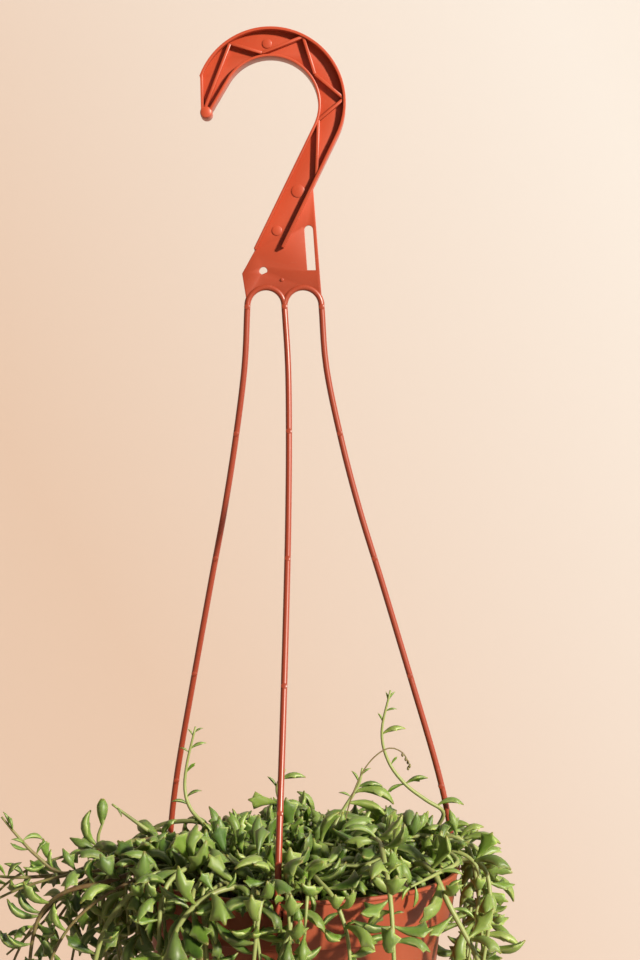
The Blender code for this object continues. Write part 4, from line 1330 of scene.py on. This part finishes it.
nest = {
    "count": 34,
    "tries": 90,
    "circle": 0.86,  # of the rim
    "radius": 0.069,
    "stride": 0.013,
    "curl": 35,
    "heights": (-0.001, 0.013),
    "humps": (0.7, 1.0, 1.0, 0.8),
    "lift": (-0.002, 0.008),
    "spacing": 7.0,
    "growth": (0.10, 1.1, 1.0, 0.85),
}

fringe = {
    "angles": {
        "fringeLeft": (-94, -80, -68, -58, -50, -43, -36, -29, -22, -15, -7),
        "fringeRight": (4, 78, 108),
        "fringeBack": (122, 140, 158, 176, 194, 212, 230, 248),
    },
    "tries": 60,
    "wander": 4,
    "swing": 12,
    "circle": (0.050, 0.066),
    "arch": (0.003, 0.010),
    "ends": (-0.062, -0.014),
    "drop": 0.016,
    "spacing": {"fringeLeft": 6.5, "fringeRight": 8.5, "fringeBack": 6.5},
    "growth": (0.12, 1.08, 0.9, 0.85),
}

sprays = {
    "growth": (0.22, 0.9, 0.7, 0.6),
    "spacing": 14.0,
    "tries": 80,
    "wander": 0.00012,
    "routes": (
        [*rooted(-49, -12), (-62, -18, 6), (-84, -24, 2), (-104, -26, -10), (-120, -26, -28), (-130, -24, -50)],
        [*rooted(-46, 12), (-62, 12, 9), (-84, 8, 6), (-108, 4, 2), (-128, 2, -6), (-142, 0, -18)],
        [*rooted(-43, -20), (-60, -28, 7), (-86, -32, 5), (-112, -31, 0), (-132, -29, -8), (-146, -27, -18)],
        [*rooted(-38, -30), (-54, -42, 6), (-74, -50, 2), (-94, -52, -12), (-106, -50, -32), (-112, -48, -60)],
        [*rooted(-50, -2), (-66, -8, 4), (-84, -12, -2), (-99, -14, -16), (-110, -14, -34), (-118, -13, -60)],
        [*rooted(-46, 24), (-66, 22, 5), (-88, 19, -4), (-106, 16, -18), (-122, 14, -34), (-136, 12, -46)],
        [*rooted(-52, 12), (-70, 14, 2), (-86, 14, -8), (-98, 13, -26), (-104, 12, -50), (-107, 11, -74)],
    ),
}


def nestRoute(draw):
    start, out = draw.uniform(0, 360), pot["rim"] * nest["circle"] * math.sqrt(draw.random())
    return creepFrom(onRim(start, out, 0), nest, draw)


def fringeRoute(angle, draw):
    angle += draw.uniform(-fringe["wander"], fringe["wander"])
    root, arch, end = draw.uniform(*fringe["circle"]), draw.uniform(*fringe["arch"]), draw.uniform(*fringe["ends"])
    swing, rim = draw.uniform(-fringe["swing"], fringe["swing"]), pot["rim"]
    turns = outOfSoil(root) + [(root + 0.5 * (rim - root), 0.2, arch), (rim + 0.002, 0.4, arch)]
    turns.append((rim + 0.010, 0.6, arch * 0.1))
    drops = max(1, round(-end / fringe["drop"]))
    turns += [(rim + 0.012 - 0.002 * k, 0.6 + 0.2 * k, end * k / drops) for k in range(1, drops + 1)]
    return swungRound(angle, swing, turns)


def sprayRoute(route, n, draw):
    aside = Vector((draw.uniform(-1, 1), draw.uniform(-1, 1), 0)) * n * sprays["wander"]
    lift = Vector((0, 0, draw.uniform(-1, 1))) * n * sprays["wander"]
    places = [fromRim(place) + aside for place in route]
    return places[:2] + [place + lift for place in places[2:]]


# the room that stems and leaves take up, as balls in a grid


class TakenRoom:
    def __init__(self):
        self.cells = {}
        self.cell = 0.008

    def keyOf(self, place):
        return tuple(math.floor(c / self.cell) for c in place)

    def add(self, balls, owner):
        for place, radius in balls:
            self.cells.setdefault(self.keyOf(place), []).append((place, radius, owner))

    def isClear(self, balls, owner, gap, ownShare):
        for place, radius in balls:
            i, j, k = self.keyOf(place)
            for near in [(i + a, j + b, k + c) for a in (-1, 0, 1) for b in (-1, 0, 1) for c in (-1, 0, 1)]:
                for other, otherRadius, otherOwner in self.cells.get(near, ()):
                    reach = radius + otherRadius
                    limit = reach * ownShare if otherOwner == owner else reach + gap
                    if (place - other).length_squared < limit * limit:
                        return False
        return True


def clearOfPot(place, radius):
    local = place - rimMiddle
    out = math.hypot(local.x, local.y)
    margin = radius + plant["leafGap"]
    if local.z > 0:
        nearest = min(max(out, pot["rim"] - pot["wall"]), pot["rim"] + pot["lip"])
        return math.hypot(out - nearest, local.z) > margin or out < pot["rim"] - pot["wall"] - margin
    if out > potRadius(local.z):
        if local.z < -pot["height"]:
            return True
        return out > max(potRadius(local.z), potRadius(min(0, local.z + margin))) + margin + pot["lip"]
    return out < bandRadius(local.z) - pot["wall"] - margin and local.z > soilHeight(out) + margin


# share of the leaf, aside, radius
leafBalls = [
    (0.26, 0.0, 0.0014), (0.43, 0.0, 0.0023), (0.62, 0.0, 0.0027), (0.79, 0.0, 0.0021), (0.97, 0.0, 0.0008)
]
finBalls = [(0.74, 0.0031, 0.0012), (0.74, -0.0031, 0.0012)]

# where it grows from and which way, its back, its length and bend, how far along the stem, and its kind
Leaf = namedtuple("Leaf", "foot forward up length bend along kind", defaults=(0.0, None))


def alongLeaf(leaf, share):
    turnedBy = leaf.bend * share
    reach = leaf.length / leaf.bend
    ahead, above = leaf.forward * (reach * math.sin(turnedBy)), leaf.up * (reach * (1 - math.cos(turnedBy)))
    return leaf.foot + ahead + above, leaf.up * math.cos(turnedBy) - leaf.forward * math.sin(turnedBy)


def ballsOfLeaf(leaf):
    size = leaf.length / plant["leafLength"]
    side = leaf.forward.cross(leaf.up)
    balls = []
    for share, aside, radius in leafBalls + finBalls:
        place, above = alongLeaf(leaf, share)
        balls.append((place + side * aside * size + above * abs(aside) * 0.3 * size, radius * size))
    return balls


def ballsOfStem(line, radii):
    balls = []
    for (a, r1), (b, r2) in zip(zip(line, radii), zip(line[1:], radii[1:])):
        count = max(1, round((b - a).length / plant["ballStep"]))
        balls += [(a.lerp(b, n / count), r1 + (r2 - r1) * n / count) for n in range(count)]
    return balls


def stemRadii(line, thickness):
    last, tip = len(line) - 1, plant["tipRadius"]
    return [tip + (plant["stemRadius"] * thickness - tip) * (1 - (n / last) ** 2.5) for n in range(len(line))]


def stemFits(balls, name, room, gap):
    free = balls[plant["rootBalls"]:]
    return all(clearOfPot(*ball) for ball in free) and room.isClear(balls, name, gap, 0.0)


# how leaves lie


def faceLight(out, along, draw):
    lean = draw.uniform(0.25, 0.7)
    forward = (out + along * lean + worldUp * draw.uniform(-0.1, 0.35)).normalized()
    return forward, worldUp + along * 0.5 + Vector((0, -0.25, 0))


def archOver(out, along, draw):
    # either way up: some cup towards the light, some leap over and dive
    leaps = draw.random() < arching["leaping"]
    rise = draw.uniform(-0.1, 0.45) if leaps else draw.uniform(-0.4, 0.2)
    forward = (out + along * draw.uniform(0.0, 0.6) + worldUp * rise).normalized()
    return forward, (worldUp + out * draw.uniform(-0.5, 0.5)) * (-1 if leaps else 1)


# the CAD's leaves
facing = {
    "aim": faceLight,
    "tries": 14,
    "swing": 1.6,
    "lengths": (0.82, 1.12),
    "shorter": 0.8,
    "bends": (0.7, 1.5),
    "gap": plant["leafGap"],
    "ownShare": 0.95,
}

# the leaves that the CAD leaves out, which may press against others
arching = {
    "aim": archOver,
    "leaping": 0.75,
    "tries": 12,
    "swing": 3.1,
    "lengths": (0.80, 1.28),
    "shorter": 0.7,
    "bends": (0.9, 1.5),
    "gap": -0.0005,
    "ownShare": 0.70,
}


def leafWays(habit, place, along, turn, size, draw):
    side = along.orthogonal().normalized()
    other = along.cross(side)
    for attempt in range(habit["tries"]):
        angle = turn + (0 if attempt == 0 else draw.uniform(-habit["swing"], habit["swing"]))
        forward, light = habit["aim"](side * math.cos(angle) + other * math.sin(angle), along, draw)
        up = light - forward * light.dot(forward)
        if up.length < 0.15:
            up = along - forward * along.dot(forward)
        shrink = 1 if attempt < habit["tries"] / 2 else habit["shorter"]
        length = plant["leafLength"] * size * draw.uniform(*habit["lengths"]) * shrink
        yield Leaf(place, forward, up.normalized(), length, draw.uniform(*habit["bends"]))


def chosenLeaf(foot, tip, way, side, length, bend):
    way, tip, side = math.radians(way), math.radians(tip), math.radians(side)
    left = Vector((-math.sin(way), 0, math.cos(way)))
    chord = Vector((math.cos(way) * math.cos(tip), -math.sin(tip), math.sin(way) * math.cos(tip)))
    lift = left * math.cos(side) + chord.cross(left) * math.sin(side)
    half = bend / 2
    forward = chord * math.cos(half) - lift * math.sin(half)
    return Leaf(foot, forward, lift * math.cos(half) + chord * math.sin(half), length * mm, bend)


def leavesByHand(name, line, room):
    leaves = []
    for share, way, side, length, bend, *kind in handLeaves.get(name, (1, ()))[1]:
        foot, along = alongLine(line, share)
        for tip in tipping:
            leaf = chosenLeaf(foot, tip, way, side, length, bend)
            balls = ballsOfLeaf(leaf)
            clear = room.isClear(balls, name, plant["leafGap"], plant["handShare"])
            if clear and all(clearOfPot(*ball) for ball in balls):
                room.add(balls, name)
                leaves.append(leaf._replace(along=along, kind=kind[0] if kind else None))
                break
    return leaves


def leavesByRule(name, line, growth, room, draw, spacing, habit):
    start, lowSize, highSize, _ = growth
    total = lengthOf(line)
    until = total * handLeaves.get(name, (1, ()))[0]
    leaves, travelled, due, turn = [], 0.0, total * start, draw.uniform(0, wholeTurn)
    for n, (a, b) in enumerate(zip(line, line[1:])):
        length = (b - a).length
        while travelled + length >= due and due < until:
            share = due / total
            along = (b - a).normalized()
            way = (due - travelled) / length
            place = a.lerp(b, way)
            size = lowSize + (highSize - lowSize) * max(0, (share - start) / (1 - start)) ** 1.6
            turn += math.radians(goldenAngle)
            for leaf in leafWays(habit, place, along, turn, size, draw):
                balls = ballsOfLeaf(leaf)
                fits = all(clearOfPot(*ball) and withinCrown(*ball) for ball in balls)
                if fits and room.isClear(balls, name, habit["gap"], habit["ownShare"]):
                    room.add(balls, name)
                    leaves.append(leaf._replace(along=n + way))
                    break
            due += spacing * (0.72 + 0.28 * size) * draw.uniform(*plant["uneven"])
        travelled += length
    return leaves


def layStems(draw, room):
    stems = []
    for side in hanger["wireXs"]:
        wire = wireLine(side)
        course = wire[:-1] + clipLine(side)
        room.add(ballsOfStem(course, [hanger["wire"]] * len(course)), "hanger")
        room.add([(place, hanger["nub"] * 1.3) for place, _ in nubPlaces(wire)], "hanger")

    def lay(name, points, growth):
        line = smoothLine(points, plant["stemStep"])
        balls = ballsOfStem(line, stemRadii(line, growth[3]))
        fits = stemFits(balls, name, room, plant["stemGap"])
        if fits:
            room.add(balls, name)
            stems.append((name, points, line, growth))
        return fits

    for name, (points, growth) in leadStems.items():
        lay(name, [fromRim(place) for place in points], growth)
    for kind in rings["kinds"]:
        for n in range(len(kind[1])):
            for _ in range(rings["tries"]):
                if lay(f"{kind[0]}_{n + 1}", ringRoute(kind, n, draw), rings["growth"]):
                    break
    for n in range(mound["count"]):
        for _ in range(mound["tries"]):
            points = moundRoute(n, draw)
            covered = withinCircle(points, mound["radius"]) and all(withinCrown(p, mound["cover"]) for p in points)
            if covered and lay(f"mound_{n + 1}", points, mound["growth"]):
                break
    return stems


def layGroup(group, routes, growth, room):
    laid = []
    for n, tries in enumerate(routes):
        name = f"{group}{n}"
        for points in tries:
            line = smoothLine(points, plant["stemStep"])
            balls = ballsOfStem(line, stemRadii(line, growth[3]))
            free = [place for place, _ in balls[plant["rootBalls"]:]]
            inside = group != "nestStems" or withinCircle(free, nest["radius"])
            if inside and stemFits(balls, name, room, plant["extraGap"]):
                room.add(balls, name)
                laid.append((name, points, line, growth))
                break
    return laid


def layExtras(draw, room):
    extras = {}
    for group, angles in fringe["angles"].items():
        routes = [[fringeRoute(angle, draw) for _ in range(fringe["tries"])] for angle in angles]
        extras[group] = layGroup(group, routes, fringe["growth"], room)
    routes = [[sprayRoute(route, n, draw) for n in range(sprays["tries"])] for route in sprays["routes"]]
    extras["leftSprays"] = layGroup("leftSprays", routes, sprays["growth"], room)
    routes = [[nestRoute(draw) for _ in range(nest["tries"])] for _ in range(nest["count"])]
    extras["nestStems"] = layGroup("nestStems", routes, nest["growth"], room)
    return extras


# the leaf patterns, one for each kind and bend

leafShape = {
    "sides": 8,
    "bends": (0.7, 0.9, 1.1, 1.3, 1.5, 1.8),
    # share of the length, half width, half height
    "stations": (
        (0.00, 0.00075, 0.00075),
        (0.10, 0.00065, 0.00080),
        (0.24, 0.00115, 0.00140),
        (0.40, 0.00205, 0.00215),
        (0.55, 0.00265, 0.00240),
        (0.67, 0.00285, 0.00220),
        (0.77, 0.00250, 0.00175),
        (0.88, 0.00140, 0.00105),
        (1.00, 0.00045, 0.00040),
    ),
    # how slim the leaf is, then its fins: station, times wider, metres forwards and up
    "kinds": {
        "long": (0.90, ((3, 1.25, 0.0005, 0.0004), (4, 2.15, 0.0014, 0.0013), (5, 0.92, 0.0, 0.0))),
        "wide": (0.95, ((4, 1.04, 0.0, 0.0001), (5, 1.55, 0.0010, 0.0008), (6, 2.05, 0.0010, 0.0012))),
        "slim": (0.82, ((4, 1.02, 0.0, 0.0001), (5, 1.30, 0.0008, 0.0005), (6, 1.75, 0.0011, 0.0008))),
        "young": (0.74, ((5, 1.10, 0.0003, 0.0002), (6, 1.45, 0.0008, 0.0004))),
        "oval": (
            0.95,
            tuple((n, w, 0.0, 0.0) for n, w in enumerate((1.0, 2.4, 2.1, 1.7, 1.5, 1.45, 1.6, 2.1, 3.0)) if n),
        ),
    },
    "keel": 1.15,
    "back": 0.80,
    "edgeShare": 0.88,
}


def straightLeaf(slim, fins):
    length, stations = plant["leafLength"], leafShape["stations"]
    deselectAll()
    bpy.ops.mesh.primitive_circle_add(
        vertices=leafShape["sides"], radius=1, fill_type="NGON", rotation=(0, math.radians(90), 0)
    )
    pattern = bpy.context.object
    settle(pattern)
    editAll(pattern)
    _, width, height = stations[0]
    bpy.ops.transform.resize(value=(1, width * slim, height * slim))
    for (s0, w0, h0), (s1, w1, h1) in zip(stations, stations[1:]):
        extrudeBy((s1 - s0) * length, 0, 0)
        bpy.ops.transform.resize(value=(1, w1 / w0, h1 / h0))
    bpy.ops.mesh.select_all(action="SELECT")
    bpy.ops.mesh.normals_make_consistent(inside=False)
    # keeled below, flatter above
    nearby = 0.00005
    selectWhere(pattern, lambda co: co.z < -nearby)
    bpy.ops.transform.resize(value=(1, 0.92, leafShape["keel"]), center_override=(0, 0, 0))
    selectWhere(pattern, lambda co: co.z > nearby)
    bpy.ops.transform.resize(value=(1, 1, leafShape["back"]), center_override=(0, 0, 0))
    # the fins, drawn out sideways and forwards
    for station, spread, ahead, above in fins:
        finX = stations[station][0] * length
        selectWhere(pattern, lambda co: abs(co.x - finX) < 2 * nearby and abs(co.z) < nearby)
        bpy.ops.transform.resize(value=(1, spread, 1), center_override=(finX, 0, 0))
        bpy.ops.transform.translate(value=(ahead, 0, above))
    bpy.ops.object.mode_set(mode="OBJECT")
    return pattern


def isMargin(co):
    return abs(co.y) > leafShape["edgeShare"] * co.yz.length and co.x > plant["leafLength"] * 0.3


def makeLeafPattern(kind, bend):
    pattern = straightLeaf(*leafShape["kinds"][kind])
    places = [corner.co.copy() for corner in pattern.data.vertices]
    markPoints(pattern, "reach", [min(1, max(0, co.x / plant["leafLength"])) for co in places])
    markPoints(pattern, "belly", [min(1, max(0, -co.z / 0.002)) for co in places])
    # margin marks the fins' edges, which the leaf skin paints paler: partly their own tint, partly painted rim
    # light
    markPoints(pattern, "margin", [float(isMargin(co)) for co in places])
    # laid on its side to be bent round the upright axis, then stood up again
    pattern.rotation_euler.x = math.radians(-90)
    settle(pattern)
    arch = pattern.modifiers.new("arch", "SIMPLE_DEFORM")
    arch.deform_method = "BEND"
    arch.deform_axis = "Z"
    arch.angle = bend
    applyAll(pattern)
    standUp(pattern)
    finish(pattern, skins["leaf"])
    pattern.name = f"{kind}Pattern"
    return pattern


def copyLeaf(pattern, leaf, start, tone):
    copy = bpy.data.objects.new("leaf", pattern.data.copy())
    bpy.context.collection.objects.link(copy)
    turn = Matrix((leaf.forward, leaf.up.cross(leaf.forward), leaf.up)).transposed().to_4x4()
    size = Matrix.Scale(leaf.length / plant["leafLength"], 4)
    copy.data.transform(Matrix.Translation(start) @ turn @ size)
    markPoints(copy, "tone", [tone] * len(copy.data.vertices))
    return copy


def nearestPattern(patterns, leaf, draw):
    bend = min(leafShape["bends"], key=lambda b: abs(b - leaf.bend))
    kind = draw.choice(("long", "wide", "slim"))
    if leaf.length < plant["youngUnder"]:
        kind = "young"
    return patterns[leaf.kind or kind, bend]


# the plant itself


def pieceName(name):
    words = name.split("_")
    return "stem" + "".join(word.capitalize() for word in words)


def growStem(name, points, growth, leaves, patterns, draw):
    fine = smoothLine(points, plant["stemStep"], plant["finer"])
    stem = rod(name, fine, stemRadii(fine, growth[3]), plant["stemSides"])
    base, youth = plant["brownAge"] if name.startswith(plant["brownStems"]) else (0.0, 1.0)
    total = max(1, len(fine) - 1)
    ages = []
    for corner in stem.data.vertices:
        nearest = min(range(len(fine)), key=lambda m: (fine[m] - corner.co).length_squared)
        ages.append(base + nearest / total * youth)
    markPoints(stem, "reach", ages)
    finish(stem, skins["stem"])
    parts = [stem]
    dark, lighter = plant["tones"].get(name.split("_")[0], (0.0, 1.0))
    for leaf in leaves:
        where = leaf.along * plant["finer"]
        n = min(int(where), len(fine) - 2)
        start = fine[n].lerp(fine[n + 1], where - n)
        # painted shade: leaves darker towards the left, away from the light
        shade = 1 + (start.x - rimMiddle.x - plant["shadeFrom"]) / plant["shadeWidth"]
        tone = (dark + lighter * draw.random()) * min(1, max(plant["darkest"], shade))
        parts.append(copyLeaf(nearestPattern(patterns, leaf, draw), leaf, start, tone))
    return joinAll(parts, pieceName(name))


def growPlant():
    draw, room = random.Random(plant["seed"]), TakenRoom()
    stems = layStems(draw, room)
    grown = {name: leavesByHand(name, line, room) for name, _, line, _ in stems}
    for name, _, line, growth in stems:
        grown[name] += leavesByRule(name, line, growth, room, draw, plant["leafSpacing"], facing)
    print("stems laid:", len(grown), "with", sum(map(len, grown.values())), "leaves as in the CAD")
    fill, count = random.Random(plant["fillSeed"]), 0
    extras = layExtras(fill, room)
    patterns = {
        (kind, bend): makeLeafPattern(kind, bend) for kind in leafShape["kinds"] for bend in leafShape["bends"]
    }
    for name, points, line, growth in stems:
        spacing = plant["fillSpacing"].get(name) or plant["fillSpacing"][name.split("_")[0]]
        leaves = grown[name] + leavesByRule(name, line, growth, room, fill, spacing * mm, arching)
        piece = growStem(name, points, growth, leaves, patterns, fill)
        count += len(leaves)
        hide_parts(f"stem_{name}")
        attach(piece, "root")
    spacings = {**fringe["spacing"], "leftSprays": sprays["spacing"], "nestStems": nest["spacing"]}
    for group, laid in extras.items():
        parts, before = [], count
        for name, points, line, growth in laid:
            leaves = leavesByRule(name, line, growth, room, fill, spacings[group] * mm, arching)
            parts.append(growStem(name, points, growth, leaves, patterns, fill))
            count += len(leaves)
        piece = joinAll(parts, group)
        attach(piece, "root")
        print(group, "ready:", len(laid), "stems,", count - before, "leaves,", len(piece.data.polygons), "faces")
    for pattern in patterns.values():
        remove(pattern)
    print("plant ready:", count, "leaves")


# a dried flower stalk that arches over the right of the mound

flowerStalk = {
    "course": ((22, -10, 18), (25, -10, 30), (30, -9, 42), (36, -8, 50), (43, -7, 54), (49, -7, 52), (52, -7, 47)),
    "radius": 0.00035,
    "sides": 6,
    "heads": ((49, -7, 51), (50.5, -7, 49), (51.5, -6.5, 47.5), (52.3, -7.4, 46), (51.6, -7, 44.8)),
    "headRadius": 0.0007,
}


def makeFlowerStalk():
    fine = smoothLine([fromRim(place) for place in flowerStalk["course"]], 0.002)
    parts = [rod("flowerStalk", fine, [flowerStalk["radius"]] * len(fine), flowerStalk["sides"])]
    bud = {"subdivisions": 1, "radius": flowerStalk["headRadius"]}
    for place in flowerStalk["heads"]:
        longer = Matrix.Translation(fromRim(place)) @ Matrix.Diagonal((1, 1, 1.6, 1))
        parts.append(primitiveAt(longer, bpy.ops.mesh.primitive_ico_sphere_add, **bud))
    for part in parts:
        markPoints(part, "reach")
    piece = joinAll(parts, "driedFlowerStalk")
    finish(piece, skins["stem"])
    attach(piece, "root")
    print("flower stalk ready")


growPlant()
makeFlowerStalk()
